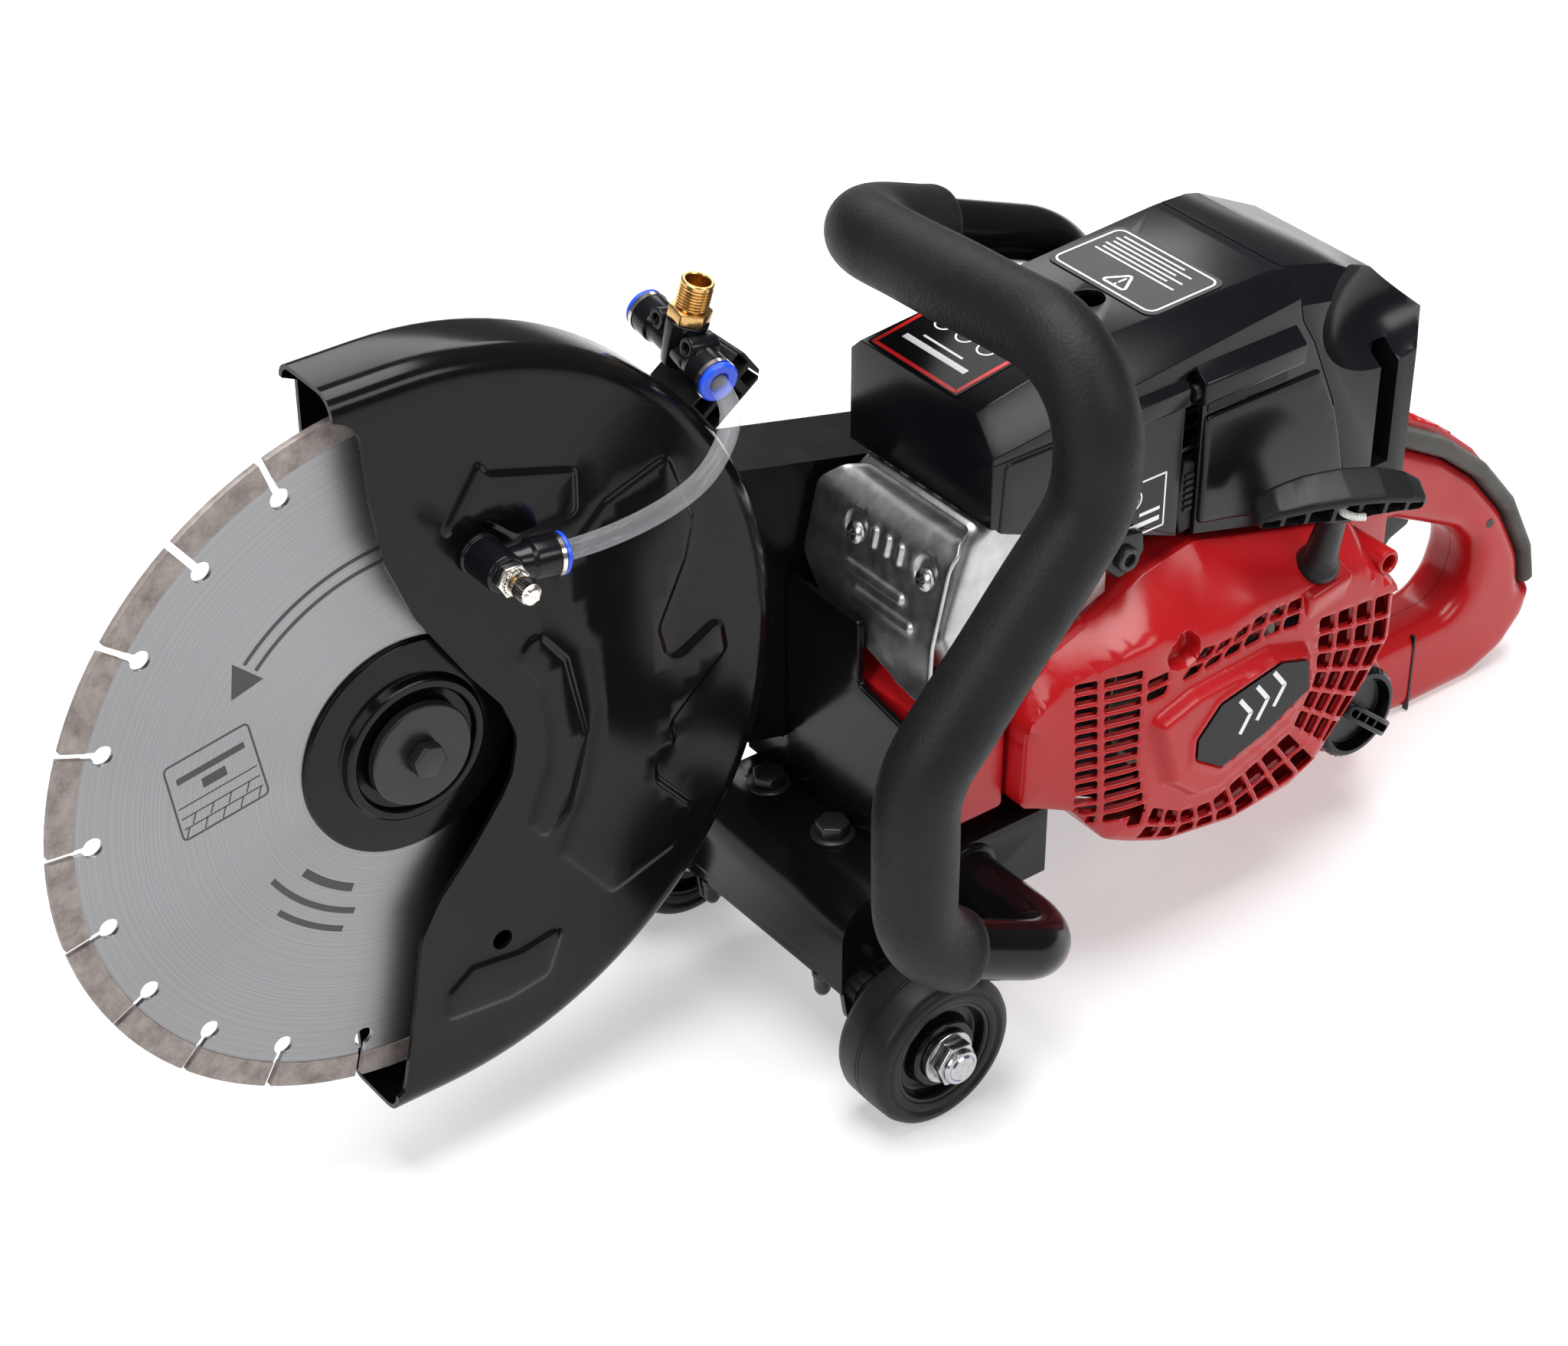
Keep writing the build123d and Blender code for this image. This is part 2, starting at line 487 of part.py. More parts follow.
HOLES = [along((-209.0, 6.0, 16.0), SHIELD_N, -6), along((-209.0, 50.0, 16.0), SHIELD_N, -6)]
shield -= [rod(p, SHIELD_N, 14, 2.5) for p in HOLES]
PARTS["muffler_shield"] = shield - PARTS["muffler"]
heads = []
for p in HOLES:
    shank = rod(along(p, SHIELD_N, -2), SHIELD_N, 9.2, 2.5)
    heads.append(rod(along(p, SHIELD_N, 7.2), SHIELD_N, 3, 5) + shank)
shield_screws = Compound(children=heads) - PARTS["muffler"]

# ---- starter housing ----
STARTER = [(-248, -104), (-274, -114), (-290, -134), (-322, -150.5), (-362, -157), (-396, -154),
           (-413, -146), (-441, -114), (-454, -94), (-454, -62), (-438, -38), (-400, -28), (-345, -13),
           (-318, -18), (-262, -41), (-250, -62)]
starter_face = make_face(Polyline(*STARTER, close=True))
starter = sketch_y(starter_face, 44, 84)
top_edges = [e for e in starter.edges() if abs(e.center().Y - 84) < 0.01 and e.center().Z > -50]
starter = chamfer(top_edges, 16, 20)
low_edges = [e for e in starter.edges() if abs(e.center().Y - 84) < 0.01 and e.center().Z < -100]
starter = chamfer(low_edges, 5)
inside = sketch_y(offset(starter_face, amount=-3.5), 40, 80.5)
inside_top = [e for e in inside.edges() if abs(e.center().Y - 80.5) < 0.01 and e.center().Z > -52]
inside = chamfer(inside_top, 14.5, 18)
starter -= inside
BADGE_PAD = [(-302, -74), (-326, -66), (-371, -63), (-396, -71), (-398, -93), (-387, -112), (-344, -128),
             (-330, -125), (-313, -111)]
pad = prism_y(BADGE_PAD, 80, 90)
pad_edges = [e for e in pad.edges() if abs(e.center().Y - 90) < 0.01]
starter += chamfer(pad_edges, 4)
for row in range(7):
    z = -49 - row * 10.5
    starter -= block(-276 - row * 0.4, -266, 75, 90, z - 3.4, z + 3.4)
    starter -= block(-300, -280, 75, 90, z - 3.4, z + 3.4)
for column in range(6):
    x = -318 - column * 17
    starter -= block(x - 7, x + 7, 75, 90, -60, -55)
    starter -= block(x - 7, x + 7, 75, 90, -140, -134)
for row in range(4):
    z = -70 - row * 11
    starter -= block(-421, -404, 75, 90, z - 3.6, z + 3.6)
    starter -= block(-439, -425, 75, 90, z - 3.6, z + 3.6)
starter += rod_y(-322, -47, 60, 83, 6)
starter -= rod_y(-322, -47, 66, 90, 4)
PULL = unit((0.16, 0.34, 0.93))
ROPE_EXIT = (-402.0, 78.0, -40.0)
boss = rod(along(ROPE_EXIT, PULL, -14), PULL, 14, 13)
starter -= rod(ROPE_EXIT, PULL, 50, 12)
starter += boss
starter -= rod(along(ROPE_EXIT, PULL, -20), PULL, 30, 2.6)
PARTS["starter_cover"] = starter
BADGE = [(-327, -100), (-327, -90), (-339, -77), (-373, -70), (-389, -75), (-391, -90), (-366, -103),
         (-342, -110)]
badge = prism_y(BADGE, 90, 91.2)
neck = rod(along(ROPE_EXIT, PULL, GAP), PULL, 8, 10) + rod(along(ROPE_EXIT, PULL, 8), PULL, 34, 8)
bar_axis = unit((-0.91, 0.41, 0.0))
GRIP_MID = along(ROPE_EXIT, PULL, 50)
bar = Plane(origin=GRIP_MID, x_dir=bar_axis, z_dir=PULL) * Box(76, 18, 17)
bar = rounded(bar, 6, lambda e: True)
recoil = neck + bar
PARTS["recoil_grip"] = recoil - rod(along(ROPE_EXIT, PULL, -5), PULL, 52, 2.3)
PARTS["recoil_rope"] = rod(along(ROPE_EXIT, PULL, -18), PULL, 62, 1.8)

# ---- engine shroud ----
SHROUD = [(-232, 36), (-232, 84), (-296, 94), (-385, 97), (-392, 96), (-397, 74), (-405, 61), (-419, 29),
          (-430, -10), (-436, -30), (-414, -28), (-334, -6)]
SHROUD_IN = [(-235, 0), (-235, 81.4), (-296, 91), (-385, 94), (-392, 93), (-450, 93), (-450, -60),
             (-235, -60)]
ROOM = [(-150, 47), (-165, 46.5), (-262, 24), (-352, 1.5), (-440, -20), (-440, -160), (-150, -160)]
NEAR_SLOPE = unit((0.06, 0.816, 0.576))
FAR_SLOPE = unit((0.05, -0.70, 0.71))
REAR_SLOPE = unit((-0.12, 0.78, 0.61))
REAR_CORNER = unit((-0.69, 0.72, 0))
NEAR_AT = (-232, 50, 85)
FAR_AT = (-232, -20, 85)
REAR_AT = (-397, 58, 86)
CORNER_AT = (-489, 42, 0)


def sliced(shape, point, normal, depth=0):
    at = along(point, normal, -depth)
    return shape - Plane(origin=at, z_dir=normal) * Pos(0, 0, 200) * Box(900, 900, 400)


shroud = sliced(sliced(prism_y(SHROUD, -27, 62), NEAR_AT, NEAR_SLOPE), FAR_AT, FAR_SLOPE)
hollow = sliced(sliced(prism_y(SHROUD_IN, -24, 59), NEAR_AT, NEAR_SLOPE, 3), FAR_AT, FAR_SLOPE, 3)
shroud -= hollow
shroud -= prism_y(ROOM, -70, ARM_NEAR)
shroud -= Pos(-314, 22, 95) * Cylinder(7, 20)
shroud += prism_x([(60, 50), (67, 57), (67, 68), (60, 74)], -394, -338)
PARTS["engine_shroud"] = shroud

FILTER = [(-392.4, 96), (-397.4, 74), (-405.4, 61), (-419.4, 29), (-430.4, -10), (-436.4, -30), (-489, -34),
          (-489, 24), (-478, 50), (-455, 72), (-420, 89)]
fcover = sliced(prism_y(FILTER, -27, 62), REAR_AT, REAR_SLOPE)
fcover = sliced(sliced(fcover, CORNER_AT, REAR_CORNER), FAR_AT, FAR_SLOPE)
FILTER_IN = [(-380, 91), (-420, 85.6), (-453.4, 69.2), (-475.6, 48), (-486, 23), (-486, -40), (-380, -40)]
fcover -= sliced(sliced(prism_y(FILTER_IN, -24, 47), REAR_AT, REAR_SLOPE, 3), FAR_AT, FAR_SLOPE, 3)
fcover -= block(-470, -380, 46, 59, -40, 50)
fcover -= block(-457, -451, 50, 70, -12, 34)
fcover -= Pos(-440, 66, 60) * Sphere(17)
PARTS["filter_cover"] = fcover
top_plate = Pos(-343, 18, 96.02) * Rot(0, 1.93, 0) * Box(42, 60, 0.8)
PARTS["nameplates"] = Compound(children=[badge, top_plate])

# ---- fuel tank and rear handle ----
TANK = [(-412.3, -121), (-412.3, -190), (-424, -203), (-500, -203), (-500, -95), (-442, -95),
        (-428.5, -118)]
TANK_UNDER = unit((0, 0.65, -0.76))
TANK_REAR = unit((-0.7, 0.71, 0))
tank = prism_y(TANK, -38, 43)
tank = rounded(tank, 8, lambda e: abs(e.center().Y - 2.5) < 0.5 and e.center().Z < -150)
tank = sliced(tank, (-450, 43, -177), TANK_UNDER)
tank = sliced(tank, (-487.5, 43, -150), TANK_REAR)
tank += rod_y(CAP_X, CAP_Z, 43, 50, 25)
tank -= rod_y(CAP_X, CAP_Z, 20, 52, 16)
PARTS["fuel_tank"] = tank
cap = rod_y(CAP_X, CAP_Z, 50 + GAP, 60, 22.5) + rod_y(CAP_X, CAP_Z, 30, 50 + GAP, 16 - RUN_FIT)
cap -= ring_y(CAP_X, CAP_Z, 54, 61, 18, 3)
bar_cap = Pos(CAP_X, 0, CAP_Z) * Rot(0, -40, 0) * block(-19, 19, 54, 68, -4, 4)
PARTS["fuel_cap"] = cap + bar_cap

LOOP = [(-412.3, -41), (-430, -37), (-500, -42), (-524, -56), (-549, -70), (-574, -90), (-596, -116),
        (-612, -145), (-616, -166), (-626, -168), (-622, -184), (-608, -199), (-586, -208), (-540, -208),
        (-500, -203), (-500, -164), (-566, -163), (-576, -154), (-580, -140), (-578, -128), (-566, -116),
        (-520, -93), (-500, -90), (-500, -94.7),
        (-441, -94.7), (-427, -116), (-412.3, -116)]
loop = prism_y(LOOP, -18, 18)
loop += block(-500, -434, -30, 30, -94.7, -44) + block(-434, -412.3, -23.4, 30, -94.7, -44)
loop = loop - block(-548, -502, -6.4, 6.4, -112, -76)
loop -= prism_y([(-500, -30), (-508, -58), (-558, -80), (-597, -130), (-612, -104), (-560, -50)], -5.4, 5.4)
loop -= rod_y(-511, -84, -19, 19, 2)
loop -= rod_y(-516, -53, -19, 19, 2)
half = block(-700, -400, 0, 60, -230, 0)
PARTS["handle_left"] = loop & half
PARTS["handle_right"] = loop - half
STRIP = [(-506, -45.5), (-524, -56), (-549, -70), (-574, -90), (-596, -116), (-612, -145), (-616, -166),
         (-624, -164), (-619, -142), (-602, -110), (-579, -83), (-553, -62), (-528, -48), (-508, -38)]
strip = prism_y(STRIP, -17, 17)
PARTS["handle_softgrip"] = strip - prism_y(STRIP, -5.4, 5.4) - rod_y(-516, -53, -19, 19, 2)
TRIGGER = [(-506, -80), (-516, -80), (-545, -100), (-541, -108), (-530, -112), (-522, -122),
           (-512, -112), (-506, -92)]
PARTS["throttle_trigger"] = prism_y(TRIGGER, -6, 6) - rod_y(-511, -84, -8, 8, 2 + RUN_FIT)
LOCK = [(-508, -36), (-528, -44), (-556, -60), (-582, -82), (-598, -101), (-594, -106), (-556, -72),
        (-520, -57), (-511, -55)]
PARTS["throttle_lock"] = prism_y(LOCK, -5, 5) - rod_y(-516, -53, -8, 8, 2 + RUN_FIT)
pins = [rod_y(-511, -84, -18, 18, 2), rod_y(-516, -53, -17, 17, 2)]
PARTS["fasteners"] = Compound(children=pins + screws + [shield_screws, retainer])
switch = rod_y(-470, -62, -32, -26, 3) + block(-478, -462, -36, -30.3, -66, -58)
PARTS["stop_switch"] = switch
PARTS["handle_right"] -= rod_y(-470, -62, -40, -25.5, 3 + RUN_FIT)
choke = rod_y(-444, -66, -38, -18, 3) + rod_y(-444, -66, -44, -38, 7)
PARTS["choke_knob"] = choke
PARTS["handle_right"] -= rod_y(-444, -66, -50, -15, 3 + RUN_FIT)

whole = Compound(children=[Compound(children=list(p.solids())) for p in PARTS.values()])
box = whole.bounding_box()
shift = Pos(-(box.min.X + box.max.X) / 2, -(box.min.Y + box.max.Y) / 2, -box.min.Z)
print("shift", shift.position)
print("size", box.size)
for route in (LEFT_ROUTE, RIGHT_ROUTE):
    print("hose bends", [round(r, 1) for r in bend_radii(route)])
for name, shape in PARTS.items():
    solids = [shift * s for s in shape.solids()]
    body = solids[0] if len(solids) == 1 else Compound(children=solids)
    export_step(body, "parts/" + name + ".step")
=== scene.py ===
import math
import bpy
import bmesh
import numpy as np
from mathutils import Matrix, Vector
from mathutils.geometry import delaunay_2d_cdt


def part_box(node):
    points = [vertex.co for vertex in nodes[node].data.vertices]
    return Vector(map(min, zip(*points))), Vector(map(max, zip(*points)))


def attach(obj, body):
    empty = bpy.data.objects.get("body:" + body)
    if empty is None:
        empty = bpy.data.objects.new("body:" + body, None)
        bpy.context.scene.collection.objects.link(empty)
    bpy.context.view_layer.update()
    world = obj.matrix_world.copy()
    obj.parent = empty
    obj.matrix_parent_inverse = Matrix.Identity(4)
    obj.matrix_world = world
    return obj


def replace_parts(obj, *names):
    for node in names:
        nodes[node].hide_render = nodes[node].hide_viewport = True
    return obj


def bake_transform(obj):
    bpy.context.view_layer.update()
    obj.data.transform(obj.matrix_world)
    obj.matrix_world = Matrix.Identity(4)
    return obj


# Petrol cut-off saw on guide wheels: the looks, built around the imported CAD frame.
# Shapes are given in millimetres from the blade's centre: x forward, y to the operator's left, z up.

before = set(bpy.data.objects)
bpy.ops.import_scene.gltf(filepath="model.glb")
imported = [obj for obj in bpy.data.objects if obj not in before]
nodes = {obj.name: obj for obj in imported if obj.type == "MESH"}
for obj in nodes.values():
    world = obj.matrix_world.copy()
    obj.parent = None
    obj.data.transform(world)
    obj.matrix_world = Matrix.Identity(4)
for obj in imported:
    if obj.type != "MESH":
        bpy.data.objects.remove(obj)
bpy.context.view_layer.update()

MM = 0.001
blade_low, blade_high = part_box("blade_core")
BLADE_CENTRE = (blade_low + blade_high) / 2
SMOOTH_ANGLE = math.radians(34)
FORWARD, LEFT, RIGHT, UP = (1, 0, 0), (0, 1, 0), (0, -1, 0), (0, 0, 1)


def at(x, y, z):
    """A point of the blade's frame, in millimetres, as a point of the row frame, in metres."""
    return BLADE_CENTRE + Vector((x, y, z)) * MM


# ---------------------------------------------------------------- 2-D outlines
def rounded(points, radius, closed=True, step=2.0):
    """The outline with its corners rounded, and its long sides divided into equal steps."""
    pts = [np.array(p, float) for p in points]
    count = len(pts)
    radii = [radius] * count if np.isscalar(radius) else list(radius)
    corners = []
    for i, p in enumerate(pts):
        if not closed and i in (0, count - 1):
            corners.append(p)
            continue
        to_last, to_next = pts[i - 1] - p, pts[(i + 1) % count] - p
        a, b = np.linalg.norm(to_last), np.linalg.norm(to_next)
        u, v = to_last / a, to_next / b
        angle = math.acos(max(-1.0, min(1.0, float(u @ v))))
        tangent = min(radii[i] / math.tan(angle / 2), 0.47 * a, 0.47 * b) if angle < 3.1 else 0.0
        if tangent < 0.05:
            corners.append(p)
            continue
        r = tangent * math.tan(angle / 2)
        centre = p + (u + v) / np.linalg.norm(u + v) * (r / math.sin(angle / 2))
        first, last = p + u * tangent - centre, p + v * tangent - centre
        turn = math.pi - angle
        parts = max(3, math.ceil(turn * r / step))
        for k in range(parts + 1):
            t = k / parts
            arc = (math.sin((1 - t) * turn) * first + math.sin(t * turn) * last) / math.sin(turn)
            corners.append(centre + arc)
    out = []
    pairs = len(corners) if closed else len(corners) - 1
    for i in range(pairs):
        a, b = corners[i], corners[(i + 1) % len(corners)]
        parts = max(1, math.ceil(np.linalg.norm(b - a) / step))
        out += [a + (b - a) * k / parts for k in range(parts)]
    if not closed:
        out.append(corners[-1])
    return np.array(out)


def rectangle(u0, u1, v0, v1):
    return [(u0, v0), (u1, v0), (u1, v1), (u0, v1)]


def circle(x, z, r, parts=28):
    turns = np.arange(parts) * 2 * math.pi / parts
    return np.stack([x + r * np.cos(turns), z + r * np.sin(turns)], 1)


def inside(points, loop):
    """Which points lie inside a closed loop."""
    px, pz = points[:, :1], points[:, 1:]
    a, b = loop, np.roll(loop, -1, 0)
    crosses = (a[:, 1] > pz) != (b[:, 1] > pz)
    rise = np.where(b[:, 1] == a[:, 1], 1e-12, b[:, 1] - a[:, 1])
    at_x = a[:, 0] + (pz - a[:, 1]) * (b[:, 0] - a[:, 0]) / rise
    return (crosses & (px < at_x)).sum(1) % 2 == 1


def distance(points, loop, closed=True):
    """Distance from each point to the nearest side of a loop."""
    a = loop if closed else loop[:-1]
    b = np.roll(loop, -1, 0) if closed else loop[1:]
    best = np.full(len(points), 1e9)
    for start in range(0, len(a), 64):
        p, q = a[start:start + 64], b[start:start + 64]
        d = q - p
        w = points[:, None, :] - p
        t = np.clip((w * d).sum(2) / np.maximum((d * d).sum(1), 1e-12), 0, 1)
        gap = np.linalg.norm(w - t[..., None] * d, axis=2).min(1)
        best = np.minimum(best, gap)
    return best


def signed(points, loop):
    """Distance to a loop, positive inside it."""
    return np.where(inside(points, loop), 1, -1) * distance(points, loop)


def ring_points(loop, offset):
    """The loop's points moved by offset towards its inside."""
    ahead = np.roll(loop, -1, 0) - np.roll(loop, 1, 0)
    area = (loop[:, 0] * np.roll(loop[:, 1], -1) - np.roll(loop[:, 0], -1) * loop[:, 1]).sum()
    normal = np.stack([-ahead[:, 1], ahead[:, 0]], 1) * (1 if area > 0 else -1)
    return loop + normal / np.maximum(np.linalg.norm(normal, axis=1), 1e-9)[:, None] * offset


def step_up(d, width):
    """0 below 0, 1 above width, smooth between."""
    t = np.clip(d / width, 0, 1)
    return t * t * (3 - 2 * t)


# ---------------------------------------------------------------- meshes
def facing_y(u, v, h):
    return np.stack([u, h, v], 1)


def facing_minus_y(u, v, h):
    return np.stack([u, -h, v], 1)


def on_plane(origin, u_dir, v_dir, n_dir):
    """Places (u, v, height) on a tilted plane."""
    o, a, b, c = (np.array(d, float) for d in (origin, u_dir, v_dir, n_dir))
    return lambda u, v, h: o + u[:, None] * a + v[:, None] * b + h[:, None] * c


def finish_mesh(name, points, faces, body, material, angle=SMOOTH_ANGLE):
    """An object riding on a body, from points in millimetres."""
    mesh = bpy.data.meshes.new(name)
    placed = np.array(points, float) * MM + np.array(BLADE_CENTRE)
    mesh.from_pydata(placed.tolist(), [], [tuple(int(i) for i in f) for f in faces])
    tidy = bmesh.new()
    tidy.from_mesh(mesh)
    bmesh.ops.remove_doubles(tidy, verts=tidy.verts, dist=1e-6)
    bmesh.ops.recalc_face_normals(tidy, faces=tidy.faces)
    tidy.to_mesh(mesh)
    tidy.free()
    return add_object(name, mesh, body, material, angle=angle)


def add_object(name, mesh, body, material, smooth=True, angle=SMOOTH_ANGLE):
    obj = bpy.data.objects.new(name, mesh)
    bpy.context.scene.collection.objects.link(obj)
    mesh.materials.clear()
    mesh.materials.append(MATERIALS[material])
    shade(mesh, smooth, angle)
    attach(obj, body)
    return obj


def stand_for(node, *pieces):
    """The pieces are seen in place of a CAD node."""
    for piece in pieces:
        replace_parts(piece, node)


def shade(mesh, smooth=True, angle=SMOOTH_ANGLE):
    if smooth:
        mesh.shade_smooth()
        mesh.set_sharp_from_angle(angle=angle)
    else:
        mesh.shade_flat()


def sides_of(loops):
    """The sides of several closed loops, as pairs of numbers into all their points."""
    starts = np.cumsum([0] + [len(loop) for loop in loops])
    return [(start + i, start + (i + 1) % len(loop)) for start, loop in zip(starts, loops)
            for i in range(len(loop))]


def triangles(points, loops, sides):
    """Triangles that cover the outline and leave its holes open."""
    _, _, faces, origins, _, _ = delaunay_2d_cdt([Vector(p) for p in points], sides, [], 0, 1e-5, True)
    back = [o[0] if o else -1 for o in origins]
    tris = np.array([[back[i] for i in f] for f in faces])
    tris = tris[(tris >= 0).all(1)]
    middle = points[tris].mean(1)
    keep = inside(middle, loops[0])
    for hole in loops[1:]:
        keep &= ~inside(middle, hole)
    return tris[keep]


def slab(name, outline, low, high, place, body, material, holes=(), edge=0.0, grid=8.0, near=(), both=False,
         angle=SMOOTH_ANGLE):
    """A solid over a 2-D outline. high gives its top height over (u, v), low its flat or shaped underside.
    edge rounds the rim. near holds (loop, offsets) where the height changes, so that points lie there."""
    loops = [np.array(outline)] + [np.array(h) for h in holes]
    sides = sides_of(loops)
    rim = np.concatenate(loops)

    def depth_of(p):
        return np.min([distance(p, loop) for loop in loops], 0)

    def within(p):
        keep = inside(p, loops[0])
        for hole in loops[1:]:
            keep &= ~inside(p, hole)
        return keep

    extra = []
    offsets = [edge * s for s in (0.08, 0.3, 0.62, 1.0)] if edge else []
    for k, loop in enumerate(loops):
        for d in offsets:
            moved = ring_points(loop, d if k == 0 else -d)
            extra.append(moved[within(moved) & (depth_of(moved) > d * 0.93)])
    for loop, steps in near:
        for d in steps:
            moved = ring_points(loop, d)
            extra.append(moved[within(moved) & (depth_of(moved) > max(edge * 0.5, 0.25))])
    lo, hi = loops[0].min(0), loops[0].max(0)
    us, vs = np.arange(lo[0] + grid / 2, hi[0], grid), np.arange(lo[1] + grid / 2, hi[1], grid)
    mesh_grid = np.array([(u, v) for u in us for v in vs])
    if len(mesh_grid):
        mesh_grid = mesh_grid[within(mesh_grid)]
        mesh_grid = mesh_grid[depth_of(mesh_grid) > max(edge * 1.2, 0.4)]
        if extra and len(mesh_grid):
            known = np.concatenate(extra)
            keep = [np.min(np.abs(known - p).max(1)) > 0.35 * min(grid, 3.0)
                    for p in mesh_grid] if len(known) else True
            mesh_grid = mesh_grid[keep] if len(known) else mesh_grid
        extra.append(mesh_grid)
    points = np.concatenate([rim] + [e for e in extra if len(e)])
    tris = triangles(points, loops, sides)
    depth = depth_of(points)
    depth[:len(rim)] = 0
    drop = edge - np.sqrt(np.maximum(edge ** 2 - (edge - np.minimum(depth, edge)) ** 2, 0)) if edge else 0.0
    top = level(high, points) - drop
    count = len(points)
    if both or callable(low):
        under = level(low, points) + (drop if both else 0.0)
        base, base_tris = points, tris[:, ::-1]
    else:
        base, base_tris = rim, triangles(rim, loops, sides)[:, ::-1]
        under = level(low, rim)
    walls = [(a, b, count + b, count + a) for a, b in sides]
    verts = np.concatenate([place(points[:, 0], points[:, 1], top), place(base[:, 0], base[:, 1], under)])
    faces = [tuple(t) for t in tris] + [tuple(t + count) for t in base_tris] + walls
    return finish_mesh(name, verts, faces, body, material, angle=angle)


def level(height, points):
    return height(points[:, 0], points[:, 1]) if callable(height) else np.full(len(points), float(height))


def frame_along(axis):
    axis = np.array(axis, float) / np.linalg.norm(axis)
    side = np.cross(axis, UP if abs(axis[2]) < 0.9 else FORWARD)
    side /= np.linalg.norm(side)
    return axis, side, np.cross(axis, side)


def lathe(name, profile, origin, axis, body, material, steps=64, soften=0.0, closed=False, wave=None):
    """Turns (distance along the axis, radius) points round an axis. wave(turn, t, r) scales a radius."""
    points = rounded(profile, soften, closed=closed, step=1e9) if soften else np.array(profile, float)
    axis, side, up = frame_along(axis)
    verts, faces = [], []
    count = len(points)
    for k in range(steps):
        turn = 2 * math.pi * k / steps
        way = side * math.cos(turn) + up * math.sin(turn)
        for i, (t, r) in enumerate(points):
            scale = wave(turn, t, r) if wave else 1.0
            verts.append(np.array(origin) + axis * t + way * r * scale)
    rows = count if closed else count - 1
    for k in range(steps):
        n = (k + 1) % steps
        for i in range(rows):
            j = (i + 1) % count
            faces.append((k * count + i, k * count + j, n * count + j, n * count + i))
    return finish_mesh(name, verts, faces, body, material)


def knurl(depth, ridges, past, up_to=math.inf):
    """A lathe's wave: ridges beyond one radius, up to one distance along the axis."""
    return lambda turn, t, r: 1 + (depth * math.cos(ridges * turn) if r > past and t < up_to else 0)


def bent(points, radius, step=3.0):
    """A 3-D path with rounded corners."""
    pts = [np.array(p, float) for p in points]
    radii = [radius] * (len(pts) - 2) if np.isscalar(radius) else radius
    out = [pts[0]]
    for a, p, b, r in zip(pts, pts[1:], pts[2:], radii):
        u, v = (a - p) / np.linalg.norm(a - p), (b - p) / np.linalg.norm(b - p)
        corner = math.acos(max(-1.0, min(1.0, float(u @ v))))
        tangent = r / math.tan(corner / 2)
        turn = math.pi - corner
        centre = p + (u + v) / np.linalg.norm(u + v) * (r / math.sin(corner / 2))
        first, last = p + u * tangent - centre, p + v * tangent - centre
        parts = max(3, math.ceil(turn * r / step))
        for k in range(parts + 1):
            t = k / parts
            out.append(centre + (math.sin((1 - t) * turn) * first + math.sin(t * turn) * last)
                       / math.sin(turn))
    out.append(pts[-1])
    path = []
    for a, b in zip(out, out[1:]):
        parts = max(1, math.ceil(np.linalg.norm(b - a) / step))
        path += [a + (b - a) * k / parts for k in range(parts)]
    path.append(out[-1])
    keep = [path[0]]
    for p in path[1:]:
        if np.linalg.norm(p - keep[-1]) > 0.2:
            keep.append(p)
    return np.array(keep)


def lengths_along(path):
    return np.concatenate([[0], np.cumsum(np.linalg.norm(np.diff(path, axis=0), axis=1))])


def tube(name, path, radius, body, material, sides=28, bore=0.0):
    """A round bar along a path. radius may be a function of the distance along it."""
    path = np.array(path, float)
    count = len(path)
    run = lengths_along(path)
    size = radius(run) if callable(radius) else np.full(count, float(radius))
    ahead = np.gradient(path, axis=0)
    ahead /= np.linalg.norm(ahead, axis=1)[:, None]
    _, side, _ = frame_along(ahead[0])
    verts = []
    shells = [size] + ([np.full(count, bore)] if bore else [])
    for shell in shells:
        normal = side
        for i in range(count):
            normal = normal - ahead[i] * (normal @ ahead[i])
            normal /= np.linalg.norm(normal)
            up = np.cross(ahead[i], normal)
            for k in range(sides):
                turn = 2 * math.pi * k / sides
                verts.append(path[i] + (normal * math.cos(turn) + up * math.sin(turn)) * shell[i])
    faces = []
    for s in range(len(shells)):
        start = s * count * sides
        for i in range(count - 1):
            for k in range(sides):
                n = (k + 1) % sides
                faces.append((start + i * sides + k, start + i * sides + n,
                              start + (i + 1) * sides + n, start + (i + 1) * sides + k))
    for end in (0, count - 1):
        if bore:
            inner = count * sides
            for k in range(sides):
                n = (k + 1) % sides
                faces.append((end * sides + k, end * sides + n, inner + end * sides + n,
                              inner + end * sides + k))
        else:
            faces.append(tuple(end * sides + k for k in range(sides)))
    return finish_mesh(name, verts, faces, body, material)


def add_prism(shape, points, place, low, high):
    """Adds a closed prism to a bmesh, in millimetres."""
    pts = np.array(points, float)
    rows = [place(pts[:, 0], pts[:, 1], np.full(len(pts), float(h))) for h in (low, high)]
    rings = [[shape.verts.new(p) for p in row] for row in rows]
    shape.faces.new(rings[0])
    shape.faces.new(rings[1][::-1])
    for i in range(len(pts)):
        j = (i + 1) % len(pts)
        shape.faces.new((rings[0][j], rings[0][i], rings[1][i], rings[1][j]))


def prism(points, place, low, high):
    """A closed prism as a bmesh, in millimetres."""
    shape = bmesh.new()
    add_prism(shape, points, place, low, high)
    bmesh.ops.recalc_face_normals(shape, faces=shape.faces)
    return shape


def ball(segments, rings, place):
    """A sphere as a bmesh, with each point of the unit sphere moved by place."""
    shape = bmesh.new()
    bmesh.ops.create_uvsphere(shape, u_segments=segments, v_segments=rings, radius=1.0)
    for v in shape.verts:
        v.co = Vector(place(v.co))
    return shape


